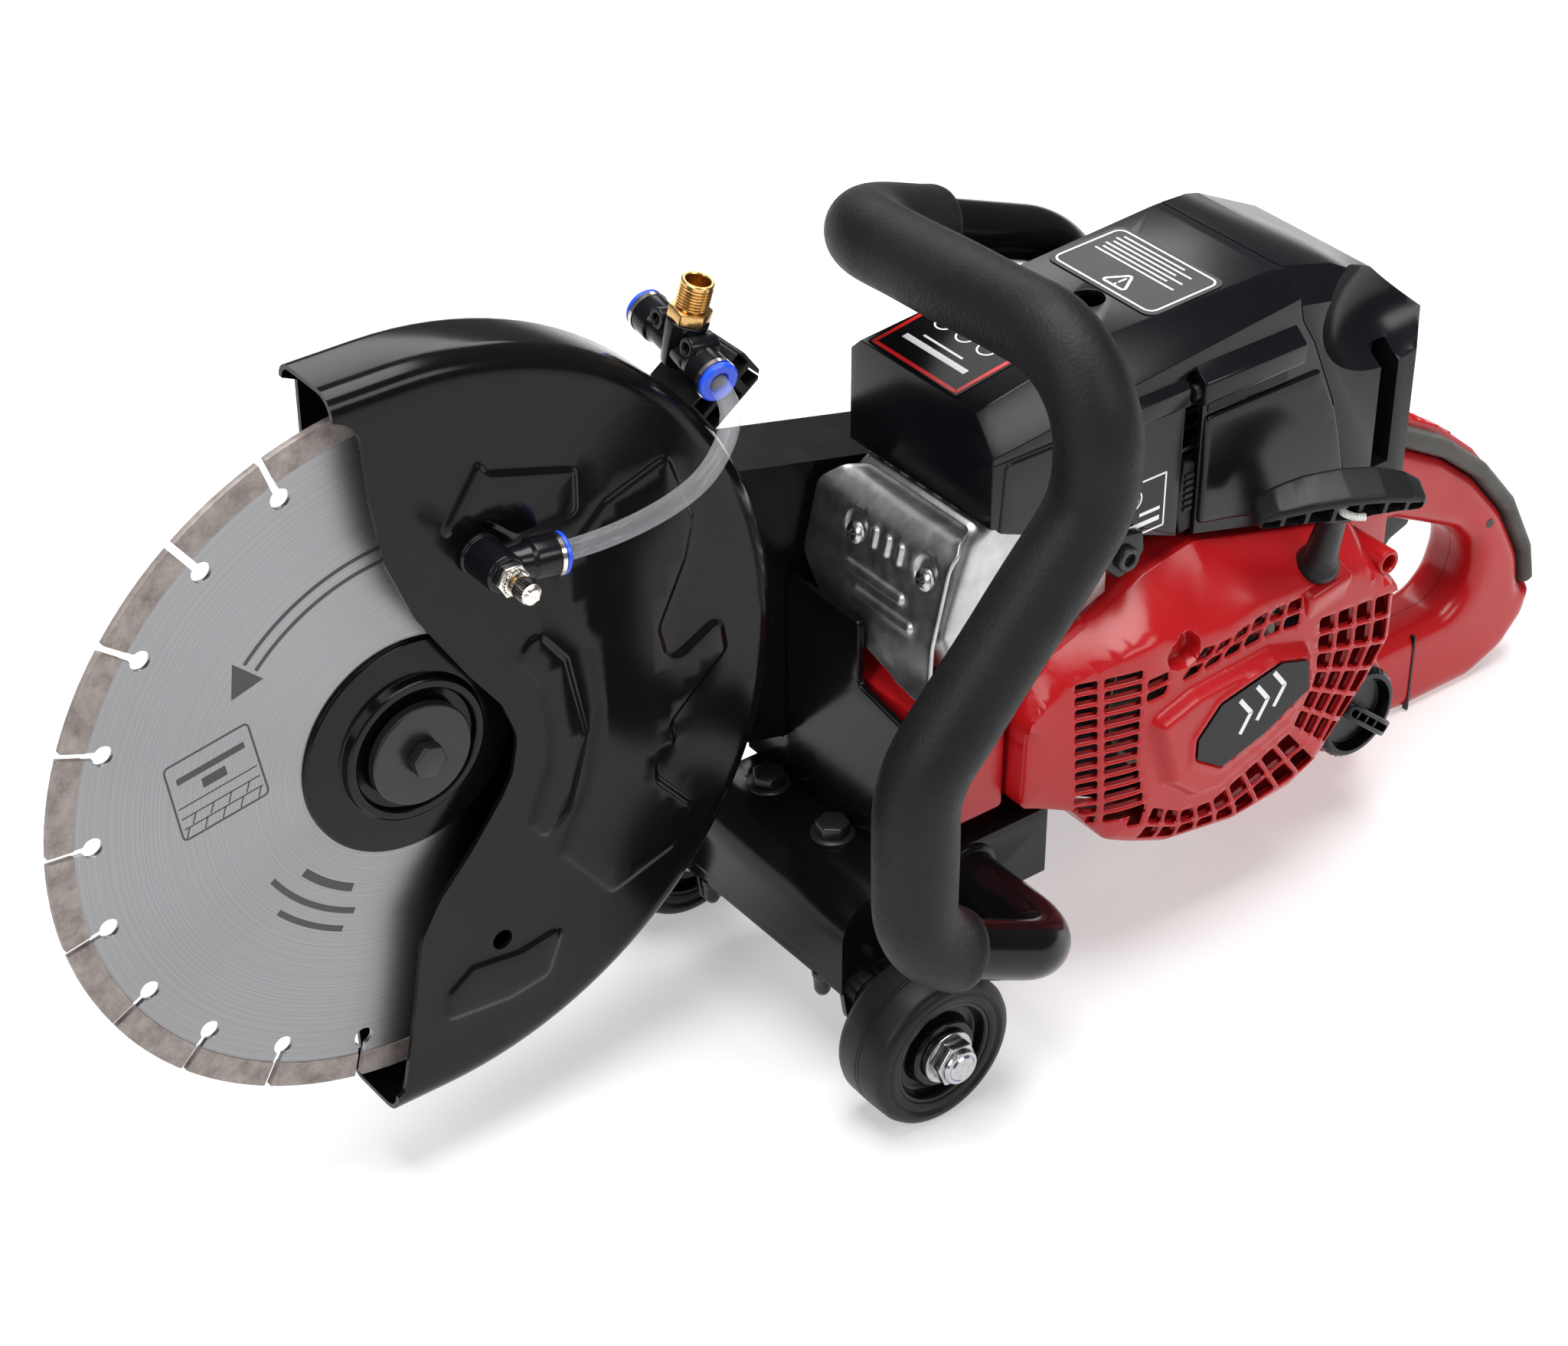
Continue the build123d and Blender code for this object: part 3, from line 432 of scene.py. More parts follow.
def slice_off(shape, point, normal):
    """Cuts away what lies beyond a plane, and closes the cut."""
    parts = shape.verts[:] + shape.edges[:] + shape.faces[:]
    cut = bmesh.ops.bisect_plane(shape, geom=parts, plane_co=point, plane_no=normal, clear_outer=True)
    edges = [e for e in cut["geom_cut"] if isinstance(e, bmesh.types.BMEdge)]
    bmesh.ops.holes_fill(shape, edges=edges)
    bmesh.ops.recalc_face_normals(shape, faces=shape.faces)
    return shape


def as_object(name, shape, body, material):
    """Turns a bmesh in millimetres into a riding object."""
    for v in shape.verts:
        v.co = v.co * MM + BLADE_CENTRE
    mesh = bpy.data.meshes.new(name)
    shape.to_mesh(mesh)
    shape.free()
    return add_object(name, mesh, body, material, smooth=False)


def baked(obj):
    """Applies an object's modifiers to its mesh."""
    graph = bpy.context.evaluated_depsgraph_get()
    mesh = bpy.data.meshes.new_from_object(obj.evaluated_get(graph))
    obj.modifiers.clear()
    obj.data = mesh
    return obj


def carve(obj, cutters, joined=False):
    """Takes the cutters, given as bmeshes in millimetres, out of the object, or adds them to it."""
    for shape in cutters:
        for v in shape.verts:
            v.co = v.co * MM + BLADE_CENTRE
        mesh = bpy.data.meshes.new("cutter")
        shape.to_mesh(mesh)
        shape.free()
        tool = bpy.data.objects.new("cutter", mesh)
        bpy.context.scene.collection.objects.link(tool)
        change = obj.modifiers.new("cut", "BOOLEAN")
        change.operation = "UNION" if joined else "DIFFERENCE"
        change.solver = "EXACT"
        change.object = tool
        baked(obj)
        bpy.data.objects.remove(tool)
    return obj


def bevelled(obj, width, segments=3, angle=25):
    """Rounds the object's edges and bakes the result."""
    change = obj.modifiers.new("edges", "BEVEL")
    change.width = width * MM
    change.segments = segments
    change.limit_method = "ANGLE"
    change.angle_limit = math.radians(angle)
    change.use_clamp_overlap = True
    change.miter_outer = "MITER_ARC"
    baked(obj)
    shade(obj.data)
    return obj


def block(lo, hi):
    """A box as a bmesh, in millimetres."""
    (x0, y0, z0), (x1, y1, z1) = lo, hi
    return prism(rectangle(x0, x1, z0, z1), facing_y, y0, y1)


def round_bar(start, axis, length, r, sides=32):
    """A cylinder as a bmesh, in millimetres."""
    axis, side, up = frame_along(axis)
    return prism(circle(0, 0, r, sides), on_plane(start, side, up, axis), 0, length)


def hexagon(flats, turn=0.0):
    return [(flats / math.sqrt(3) * math.cos(math.radians(60 * k + turn)),
             flats / math.sqrt(3) * math.sin(math.radians(60 * k + turn))) for k in range(6)]


# ---------------------------------------------------------------- materials
MATERIALS = {}


class Shader:
    """A small helper for building one material's node tree."""

    def __init__(self, name, slot, color, roughness=0.4, metallic=0.0, coat=0.0, coat_roughness=0.05,
                 specular=0.5):
        self.material = bpy.data.materials.new(name)
        self.material.use_nodes = True
        self.tree = self.material.node_tree
        self.surface = self.tree.nodes["Principled BSDF"]
        self.set("Base Color", (*color, 1))
        self.set("Roughness", roughness)
        self.set("Metallic", metallic)
        self.set("Coat Weight", coat)
        self.set("Coat Roughness", coat_roughness)
        self.set("Specular IOR Level", specular)
        self.coords = self.add("ShaderNodeTexCoord").outputs["Object"]
        self.bump_out = None
        MATERIALS[name] = self.material

    def set(self, socket, value):
        self.surface.inputs[socket].default_value = value

    def add(self, kind, **values):
        node = self.tree.nodes.new(kind)
        for key, value in values.items():
            setattr(node, key, value)
        return node

    def link(self, a, b):
        self.tree.links.new(a, b)

    def noise(self, scale, detail=3.0, rough=0.5, stretch=None, distortion=0.0):
        node = self.add("ShaderNodeTexNoise")
        node.inputs["Scale"].default_value = scale
        node.inputs["Detail"].default_value = detail
        node.inputs["Roughness"].default_value = rough
        node.inputs["Distortion"].default_value = distortion
        source = self.coords
        if stretch:
            mapping = self.add("ShaderNodeMapping")
            mapping.inputs["Scale"].default_value = stretch
            self.link(source, mapping.inputs["Vector"])
            source = mapping.outputs["Vector"]
        self.link(source, node.inputs["Vector"])
        return node.outputs["Fac"]

    def cells(self, scale, feature="F1"):
        node = self.add("ShaderNodeTexVoronoi", feature=feature)
        node.inputs["Scale"].default_value = scale
        self.link(self.coords, node.inputs["Vector"])
        return node.outputs["Distance"]

    def ramp(self, source, *stops):
        node = self.add("ShaderNodeValToRGB")
        while len(node.color_ramp.elements) < len(stops):
            node.color_ramp.elements.new(0.5)
        for element, (place, color) in zip(node.color_ramp.elements, stops):
            element.position = place
            element.color = (*color, 1) if len(color) == 3 else color
        self.link(source, node.inputs["Fac"])
        return node.outputs["Color"]

    def spread(self, source, low, high):
        node = self.add("ShaderNodeMapRange")
        node.inputs["To Min"].default_value = low
        node.inputs["To Max"].default_value = high
        self.link(source, node.inputs["Value"])
        return node.outputs["Result"]

    def bump(self, source, height, strength=1.0):
        """Adds relief of the given height in metres."""
        node = self.add("ShaderNodeBump")
        node.inputs["Distance"].default_value = height
        node.inputs["Strength"].default_value = strength
        self.link(source, node.inputs["Height"])
        if self.bump_out:
            self.link(self.bump_out, node.inputs["Normal"])
        self.bump_out = node.outputs["Normal"]
        self.link(self.bump_out, self.surface.inputs["Normal"])

    def to(self, socket, source):
        self.link(source, self.surface.inputs[socket])


def painted(name, slot, color, roughness, coat, specular=0.5):
    """Gloss paint: slight orange peel and a little dust in the finish."""
    s = Shader(name, slot, color, roughness, coat=coat, coat_roughness=0.04, specular=specular)
    s.to("Roughness", s.spread(s.noise(60, 4), roughness * 0.75, roughness * 1.35))
    s.to("Base Color",
         s.ramp(s.noise(18, 3), (0.3, [c * 0.85 for c in color]), (0.7, [c * 1.2 for c in color])))
    s.bump(s.noise(420, 2), 0.00002, 0.35)
    return s


def moulded(name, slot, color, roughness, grain=900, relief=0.00003, coat=0.0, specular=0.5):
    """Moulded plastic: fine grain, and faint shade and gloss changes over large areas."""
    s = Shader(name, slot, color, roughness, coat=coat, specular=specular)
    s.to("Roughness", s.spread(s.noise(40, 5), roughness * 0.8, roughness * 1.25))
    s.to("Base Color",
         s.ramp(s.noise(14, 4), (0.25, [c * 0.88 for c in color]), (0.75, [c * 1.1 for c in color])))
    s.bump(s.noise(grain, 3), relief, 0.5)
    return s


def turned_steel(name, slot):
    """The ground blade: fine rings round its axis, with uneven bands of shine."""
    s = Shader(name, slot, (0.27, 0.272, 0.28), 0.3, metallic=1.0)
    s.set("Anisotropic", 0.85)
    tangent = s.add("ShaderNodeTangent", direction_type="RADIAL", axis="Y")
    s.link(tangent.outputs["Tangent"], s.surface.inputs["Tangent"])
    centre = s.add("ShaderNodeVectorMath", operation="SUBTRACT")
    centre.inputs[1].default_value = BLADE_CENTRE
    s.link(s.coords, centre.inputs[0])
    length = s.add("ShaderNodeVectorMath", operation="LENGTH")
    s.link(centre.outputs["Vector"], length.inputs[0])
    rings = s.add("ShaderNodeTexNoise")
    rings.noise_dimensions = "1D"
    rings.inputs["Scale"].default_value = 1500
    rings.inputs["Detail"].default_value = 8
    rings.inputs["Roughness"].default_value = 0.7
    s.link(length.outputs["Value"], rings.inputs["W"])
    s.to("Roughness", s.spread(rings.outputs["Fac"], 0.24, 0.42))
    s.to("Base Color", s.ramp(rings.outputs["Fac"], (0.3, (0.215, 0.216, 0.223)), (0.7, (0.33, 0.331, 0.34))))
    s.bump(rings.outputs["Fac"], 0.00002, 0.25)
    return s


def sintered(name, slot):
    """Diamond segments: a dull metal bond, speckled with grit and pores."""
    s = Shader(name, slot, (0.36, 0.31, 0.28), 0.62, metallic=0.35)
    blotch = s.noise(120, 5, 0.7)
    s.to("Base Color",
         s.ramp(blotch, (0.28, (0.15, 0.122, 0.112)), (0.5, (0.27, 0.232, 0.215)),
                (0.75, (0.38, 0.34, 0.32))))
    s.to("Roughness", s.spread(s.noise(300, 3), 0.45, 0.8))
    s.bump(s.cells(700), 0.0001, 0.5)
    s.bump(blotch, 0.0001, 0.4)
    return s


def foam_grip(name, slot):
    """Soft foam sleeve: leathery pores and a slight sheen."""
    s = Shader(name, slot, (0.0065, 0.0065, 0.0074), 0.5, specular=0.2)
    s.to("Base Color", s.ramp(s.noise(25, 4), (0.3, (0.0055, 0.0055, 0.006)), (0.7, (0.010, 0.010, 0.011))))
    s.to("Roughness", s.spread(s.noise(200, 3), 0.42, 0.62))
    s.bump(s.cells(650, "SMOOTH_F1"), 0.00028, 0.55)
    s.bump(s.noise(1500, 3), 0.00012, 0.5)
    return s


def rubber(name, slot, color=(0.007, 0.007, 0.008), roughness=0.42):
    s = Shader(name, slot, color, roughness, specular=0.24)
    s.to("Base Color",
         s.ramp(s.noise(30, 4), (0.3, [c * 0.8 for c in color]), (0.7, [c * 1.4 for c in color])))
    s.to("Roughness", s.spread(s.noise(90, 4), roughness * 0.8, roughness * 1.25))
    s.bump(s.noise(700, 3), 0.00005, 0.4)
    return s


def pressed_steel(name, slot):
    """Aluminised sheet: satin, a little mottled, and scuffed."""
    s = Shader(name, slot, (0.56, 0.56, 0.57), 0.34, metallic=1.0)
    mottle = s.noise(70, 6, 0.6)
    s.to("Base Color",
         s.ramp(mottle, (0.25, (0.34, 0.335, 0.33)), (0.55, (0.48, 0.48, 0.483)), (0.8, (0.60, 0.60, 0.605))))
    s.to("Roughness", s.spread(s.noise(160, 5, 0.65), 0.24, 0.50))
    s.bump(s.noise(260, 4), 0.00008, 0.35)
    return s


def bright_metal(name, slot, color, roughness=0.2, detail=300):
    """Plated or turned metal with faint lines and spots."""
    s = Shader(name, slot, color, roughness, metallic=1.0)
    grain = s.noise(detail, 5, 0.6)
    s.to("Base Color",
         s.ramp(grain, (0.3, [c * 0.8 for c in color]), (0.7, [min(1, c * 1.12) for c in color])))
    s.to("Roughness", s.spread(grain, roughness * 0.6, roughness * 1.6))
    s.bump(grain, 0.00002, 0.3)
    return s


def clear_tube(name, slot):
    """Water-clear hose: nearly invisible where it is seen square on, and grey at its edges."""
    s = Shader(name, slot, (0.86, 0.88, 0.90), 0.06)
    weight = s.add("ShaderNodeLayerWeight")
    weight.inputs["Blend"].default_value = 0.35
    s.to("Alpha",
         s.ramp(weight.outputs["Facing"], (0.0, (0.07,) * 3), (0.55, (0.16,) * 3), (0.86, (0.60,) * 3),
                         (1.0, (0.90,) * 3)))
    shade_of = s.ramp(weight.outputs["Facing"], (0.0, (0.90, 0.92, 0.94)), (0.6, (0.60, 0.62, 0.64)),
                      (0.9, (0.16, 0.165, 0.17)))
    s.to("Base Color", shade_of)
    s.bump(s.noise(90, 2), 0.0001, 0.3)
    return s


def braided(name, slot):
    s = Shader(name, slot, (0.72, 0.72, 0.69), 0.8)
    s.set("Sheen Weight", 0.3)
    weave = s.noise(1400, 3, 0.6, (1, 1, 0.35))
    s.to("Base Color", s.ramp(weave, (0.3, (0.42, 0.42, 0.41)), (0.65, (0.80, 0.80, 0.77))))
    s.bump(weave, 0.0003, 0.7)
    return s


def make_materials():
    painted("gloss_black", "black_metal", (0.0034, 0.0034, 0.0041), 0.15, 0.0, 0.19)
    painted("satin_black", "black_metal", (0.0042, 0.0042, 0.0050), 0.25, 0.0, 0.18)
    moulded("black_plastic", "black_plastic", (0.0044, 0.0046, 0.0062), 0.20, specular=0.28)
    moulded("dull_plastic", "black_plastic", (0.0080, 0.0084, 0.0094), 0.42, grain=500, relief=0.00006,
            specular=0.22)
    moulded("red_plastic", "red_plastic", (0.43, 0.0085, 0.011), 0.24, specular=0.36)
    moulded("blue_plastic", "blue_plastic", (0.010, 0.075, 0.72), 0.3, coat=0.2)
    moulded("label_black", "label_film", (0.0050, 0.0050, 0.0058), 0.24, specular=0.22)
    moulded("label_white", "label_film", (0.82, 0.82, 0.82), 0.4)
    moulded("label_red", "label_film", (0.70, 0.015, 0.015), 0.35)
    moulded("print_grey", "label_film", (0.035, 0.035, 0.038), 0.45)
    moulded("foam", "filter_foam", (0.06, 0.06, 0.062), 0.9, grain=260, relief=0.0006)
    moulded("white_boot", "white_ceramic", (0.75, 0.74, 0.70), 0.35)
    foam_grip("foam_grip", "grip_rubber")
    rubber("soft_strip", "grip_rubber", (0.060, 0.058, 0.052), 0.45)
    rubber("tyre", "tyre_rubber")
    rubber("belt", "belt_rubber", (0.012, 0.012, 0.012), 0.6)
    moulded("black_bolt", "black_metal", (0.010, 0.010, 0.011), 0.3, specular=0.4)
    turned_steel("blade_steel", "blade_steel")
    sintered("diamond", "diamond")
    pressed_steel("muffler_steel", "muffler_steel")
    bright_metal("zinc", "steel", (0.48, 0.483, 0.49), 0.22)
    bright_metal("nickel", "nickel", (0.74, 0.70, 0.64), 0.16)
    bright_metal("brass", "brass", (0.70, 0.44, 0.17), 0.22)
    bright_metal("cast_aluminium", "aluminium", (0.42, 0.42, 0.425), 0.42, 500)
    bright_metal("flywheel_cast", "flywheel_cast", (0.42, 0.41, 0.37), 0.45, 500)
    clear_tube("clear_hose", "clear_hose")
    braided("rope", "rope")


make_materials()

# ---------------------------------------------------------------- camera, light and floor
CAMERA_AT = at(538.0, 938.5, 774.0)
CAMERA_X = Vector((-0.795, 0.606, 0.0))
CAMERA_BACK = Vector((0.4986, 0.6538, 0.5692)).normalized()
FOCAL_MM = 80.86
SENSOR_MM = 36.0
FLOOR_HALF = 6.0
PAPER = {"Base Color": (0.60, 0.60, 0.605, 1), "Roughness": 0.7, "Emission Color": (1, 1, 1, 1),
         "Emission Strength": 0.40}


def make_camera():
    data = bpy.data.cameras.new("camera")
    data.lens = FOCAL_MM
    data.sensor_width = SENSOR_MM
    data.sensor_fit = "HORIZONTAL"
    data.clip_end = 20
    camera = bpy.data.objects.new("camera", data)
    bpy.context.scene.collection.objects.link(camera)
    right = CAMERA_X - CAMERA_BACK * CAMERA_X.dot(CAMERA_BACK)
    right.normalize()
    up = CAMERA_BACK.cross(right)
    turn = Matrix((right, up, CAMERA_BACK)).transposed().to_4x4()
    camera.matrix_world = Matrix.Translation(CAMERA_AT) @ turn
    bpy.context.scene.camera = camera


def softbox(name, place, target, width, height, power):
    data = bpy.data.lights.new(name, "AREA")
    data.shape = "RECTANGLE"
    data.size, data.size_y = width, height
    data.energy = power
    lamp = bpy.data.objects.new(name, data)
    bpy.context.scene.collection.objects.link(lamp)
    lamp.location = place
    lamp.rotation_euler = (Vector(target) - Vector(place)).to_track_quat("-Z", "Y").to_euler()


def make_stage():
    world = bpy.data.worlds.new("studio")
    bpy.context.scene.world = world
    world.use_nodes = True
    sky = world.node_tree.nodes["Background"]
    sky.inputs["Color"].default_value = (0.96, 0.965, 0.98, 1)
    sky.inputs["Strength"].default_value = 0.15
    bpy.context.scene.view_settings.view_transform = "Standard"
    middle = (0, 0, 0.15)
    softbox("top_box", (0.0, 0.0, 2.6), middle, 2.2, 1.8, 108)
    softbox("front_box", (1.8, 0.4, 1.3), middle, 0.7, 1.2, 15)
    softbox("left_box", (-0.5, 1.9, 1.5), middle, 1.5, 0.6, 16)
    softbox("back_box", (-0.9, -1.7, 1.5), middle, 1.6, 0.7, 12)
    mesh = bpy.data.meshes.new("floor")
    corners = rectangle(-FLOOR_HALF, FLOOR_HALF, -FLOOR_HALF, FLOOR_HALF)
    mesh.from_pydata([(x, y, 0) for x, y in corners], [], [(0, 1, 2, 3)])
    floor = bpy.data.objects.new("floor", mesh)
    bpy.context.scene.collection.objects.link(floor)
    material = bpy.data.materials.new("floor_paper")
    material.use_nodes = True
    paper = material.node_tree.nodes["Principled BSDF"]
    for socket, value in PAPER.items():
        paper.inputs[socket].default_value = value
    mesh.materials.append(material)


make_camera()
make_stage()

# ---------------------------------------------------------------- blade guard
GUARD_R = 165.0
GUARD_NEAR = 14.0
GUARD_FAR = -22.0
SHEET = 2.0
NEAR_ROUND = 10.0
FAR_ROUND = 7.0
EMBOSS = 1.6
MOUTH_TOP, MOUTH_LOW = 28.0, 24.0
NEAR_EDGE = [(26, 155), (18, 148), (16, 119), (12, 91), (1, 63), (-11, 44), (-21, 28), (-34, 10), (-40, -7),
             (-37, -23), (-31, -33), (-16, -52), (-1, -68), (8, -83), (14, -119), (20, -150), (22, -155)]
FAR_EDGE = [(22, 158), (22, 100), (32, 60), (40, 25), (42, 0), (40, -25), (32, -60), (22, -100), (20, -158)]
ARROW = [(-29, 121), (-33, 114), (-71, 102), (-71, 81), (-43, 81), (-31, 92), (-9, 92)]
HOOK = [(-112, 93), (-124, 60), (-120, 43), (-107, 16), (-111, -1), (-136, 12), (-139, -7), (-111, -31),
        (-114, -42), (-104, -46), (-104, -54), (-121, -74), (-112, -92), (-80, -102), (-55, -70), (-69, -42),
        (-76, -8), (-72, 20), (-59, 50), (-57, 60), (-82, 83)]
RIB = [(-50, 39), (-64, 20), (-72, -19), (-62, -52), (-50, -62), (-42, -50), (-52, -26), (-53, -8), (-50, 11),
       (-40, 29)]
FOOT = [(-59, -104), (-49, -128), (-30, -131), (1, -128), (0, -114), (-13, -105), (-35, -108)]
PRESSED = [(ARROW, 4, 1), (HOOK, 5, 1), (RIB, 6, 1), (FOOT, 5, 1)]
NOZZLE_X, NOZZLE_Z = -27.0, 81.0


RIM_STEPS = 64


def rim_line(r, top_front, low_front):
    """The guard's D-shaped edge at radius r, from its top front corner round the back to its lower one."""
    turns = np.linspace(math.pi / 2, 3 * math.pi / 2, RIM_STEPS + 1)
    arc = np.stack([r * np.cos(turns), r * np.sin(turns)], 1)
    top = [(top_front * (1 - k / 5), r) for k in range(5)]
    low = [(low_front * (k + 1) / 5, -r) for k in range(5)]
    return np.concatenate([top, arc, low])


def panel(front, inset, holes, height, near, grid):
    """One side of the guard as points and triangles; its first points are the rim line."""
    rim = rim_line(GUARD_R - inset, MOUTH_TOP, MOUTH_LOW)
    edge = rounded(front, 14, closed=False, step=3.0)[::-1]
    outline = np.concatenate([rim, edge[1:-1]])
    loops = [outline] + holes
    sides = sides_of(loops)
    extra = []
    for loop, offsets in near:
        for d in offsets:
            moved = ring_points(loop, d)
            extra.append(moved)
    cells = np.array([(u, v) for u in np.arange(-165, 45, grid) for v in np.arange(-165, 166, grid)])
    for loop, offsets in near:
        cells = cells[distance(cells, loop) > max(offsets) + 1.2]
    extra.append(cells)
    free = np.concatenate(extra)
    keep = inside(free, outline) & (distance(free, outline) > 1.2)
    for hole in holes:
        keep &= ~inside(free, hole) & (distance(free, hole) > 1.0)
    points = np.concatenate(loops + [free[keep]])
    return points, triangles(points, loops, sides), height(points), len(rim)


def make_guard():
    pads = [(rounded(outline, r, step=1.6), way) for outline, r, way in PRESSED]

    def relief(p):
        lift = np.zeros(len(p))
        for loop, way in pads:
            lift = lift + way * EMBOSS * step_up(signed(p, loop) + 0.6, 3.4)
        return lift

    near = [(loop, (-0.9, 0.0, 0.9, 1.9, 2.9)) for loop, _ in pads]
    drain = circle(-28, -100, 4.5, 24)
    nozzle_hole = circle(NOZZLE_X, NOZZLE_Z, 5, 20)
    collar_hole = circle(0, 0, 25.2, 48)
    front, front_tris, lift, count = panel(NEAR_EDGE, NEAR_ROUND, [drain, nozzle_hole], relief, near, 7.0)
    back, back_tris, _, _ = panel(FAR_EDGE, FAR_ROUND, [collar_hole, nozzle_hole], lambda p: np.zeros(len(p)),
                                  [], 22.0)
    verts = [np.stack([front[:, 0], GUARD_NEAR + lift, front[:, 1]], 1)]
    faces = [tuple(t) for t in front_tris]
    offset = len(front)
    rows = []
    for centre_y, r, sign in ((GUARD_NEAR - NEAR_ROUND, NEAR_ROUND, 1),
                              (GUARD_FAR + FAR_ROUND, FAR_ROUND, -1)):
        for k in range(0, 7):
            turn = math.radians(90 * k / 6)
            inset = r * (1 - (math.sin(turn) if sign > 0 else math.cos(turn)))
            y = centre_y + sign * r * (math.cos(turn) if sign > 0 else math.sin(turn))
            rows.append((inset, y))
    for inset, y in rows:
        line = rim_line(GUARD_R - inset, MOUTH_TOP, MOUTH_LOW)
        verts.append(np.stack([line[:, 0], np.full(len(line), y), line[:, 1]], 1))
    for k in range(len(rows) - 1):
        for i in range(count - 1):
            a, b = offset + k * count + i, offset + (k + 1) * count + i
            faces.append((a, a + 1, b + 1, b))
    offset += len(rows) * count
    verts.append(np.stack([back[:, 0], np.full(len(back), GUARD_FAR), back[:, 1]], 1))
    faces += [tuple(t + offset) for t in back_tris]
    guard = finish_mesh("guard_cover", np.concatenate(verts), faces, "guard", "gloss_black")
    flip_outward(guard)
    skin = guard.modifiers.new("sheet", "SOLIDIFY")
    skin.thickness = SHEET * MM
    skin.offset = -1
    skin.use_even_offset = False
    baked(guard)
    shade(guard.data, True, math.radians(50))
    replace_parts(guard, "guard_shell")


def flip_outward(obj):
    """Turns the faces so that the near side faces +Y."""
    best = max(obj.data.polygons, key=lambda p: p.center.y)
    if best.normal.y < 0:
        obj.data.flip_normals()


# ---------------------------------------------------------------- water kit
TEE = np.array((-138.0, -12.0, 118.0))


def unit(v):
    v = np.array(v, float)
    return v / np.linalg.norm(v)


RUN = unit((0.05, 0.985, -0.16))
LEAN = unit((-0.17, 0.16, 0.97))
STEM = unit(LEAN - RUN * float(LEAN @ RUN))
HOSE_R = 4.0
LEVER_TURN = math.radians(144)
RADIAL = np.array((math.cos(LEVER_TURN), 0, math.sin(LEVER_TURN)))
TANGENT = np.array((RADIAL[2], 0, -RADIAL[0]))


def collet(name, start, axis):
    """A blue push-in ring over a thin nickel band."""
    lathe(name + "_band", [(-1.6, 8.35), (-1.6, 8.6), (0.2, 8.6), (0.2, 4.2), (-1.6, 4.2)], start, axis,
          "guard", "nickel", 48, closed=True)
    ring = [(0.2, 4.15), (0.2, 7.2), (0.8, 7.4), (0.8, 8.3), (2.2, 8.3), (2.9, 7.6), (2.9, 4.9), (2.4, 4.15)]
    return lathe(name, ring, start, axis, "guard", "blue_plastic", 48, soften=0.25, closed=True)


def make_tee():
    arm = [(0.0, 7.0), (11.0, 7.0), (13.0, 7.4), (14.5, 8.3), (23.4, 8.3), (24.0, 7.8), (24.0, 4.05)]
    pieces = []
    for name, way in (("tee_left_arm", RUN), ("tee_right_arm", -RUN)):
        pieces.append(lathe(name, [(0.0, 0.0)] + arm + [(14.0, 4.05), (14.0, 0.0)], TEE, way, "guard",
                            "black_plastic", 48, soften=0.6))
        collet(name + "_collet", TEE + way * 24, way)
    stem = [(-7.5, 0.0), (-7.5, 6.6), (2, 7.8), (8.5, 8.4), (11.8, 8.4), (12.0, 7.9), (12.0, 0.0)]
    pieces.append(lathe("tee_stem", stem, TEE, STEM, "guard", "black_plastic", 48, soften=0.7))
    side = unit(np.cross(RUN, STEM))
    for k, offset in enumerate((-1, 1)):
        ear_at = TEE + RUN * offset * 10.5 + STEM * 6.0
        ear = [(-6.5, 2.1), (-6.5, 4.4), (6.5, 4.4), (6.5, 2.1)]
        pieces.append(lathe(f"tee_ear_{k}", ear, ear_at, side, "guard", "black_plastic", 32, soften=0.5,
                            closed=True))
        web = prism(rectangle(-3, 3, -7, 1), on_plane(ear_at, RUN, STEM, side), -3.5, 3.5)
        pieces.append(bevelled(as_object(f"tee_web_{k}", web, "guard", "black_plastic"), 0.8))
    stand_for("water_tee", *pieces)
    brass_pieces = []
    hexa = prism(hexagon(15.0), on_plane(TEE, RUN, side, STEM), 12.0, 17.2)
    brass_pieces.append(bevelled(as_object("inlet_hex", hexa, "guard", "brass"), 0.5, 2))
    thread = [(17.2, 5.6), (17.6, 5.6)]
    t = 17.9
    while t < 26.6:
        thread += [(t, 5.75), (t + 0.45, 6.58), (t + 0.75, 6.58), (t + 1.15, 5.75)]
        t += 1.3
    thread += [(27.2, 6.45), (28.6, 6.45), (29.0, 6.05), (29.0, 5.2), (28.6, 4.9), (14.0, 4.7), (14.0, 0.0)]
    brass_pieces.append(lathe("inlet_thread", thread, TEE, STEM, "guard", "brass", 64))
    stand_for("inlet_spigot", *brass_pieces)


LEFT_BRANCH = unit((-0.99, 0.07, -0.12))
RIGHT_BRANCH = unit((-0.87, -0.16, 0.47))


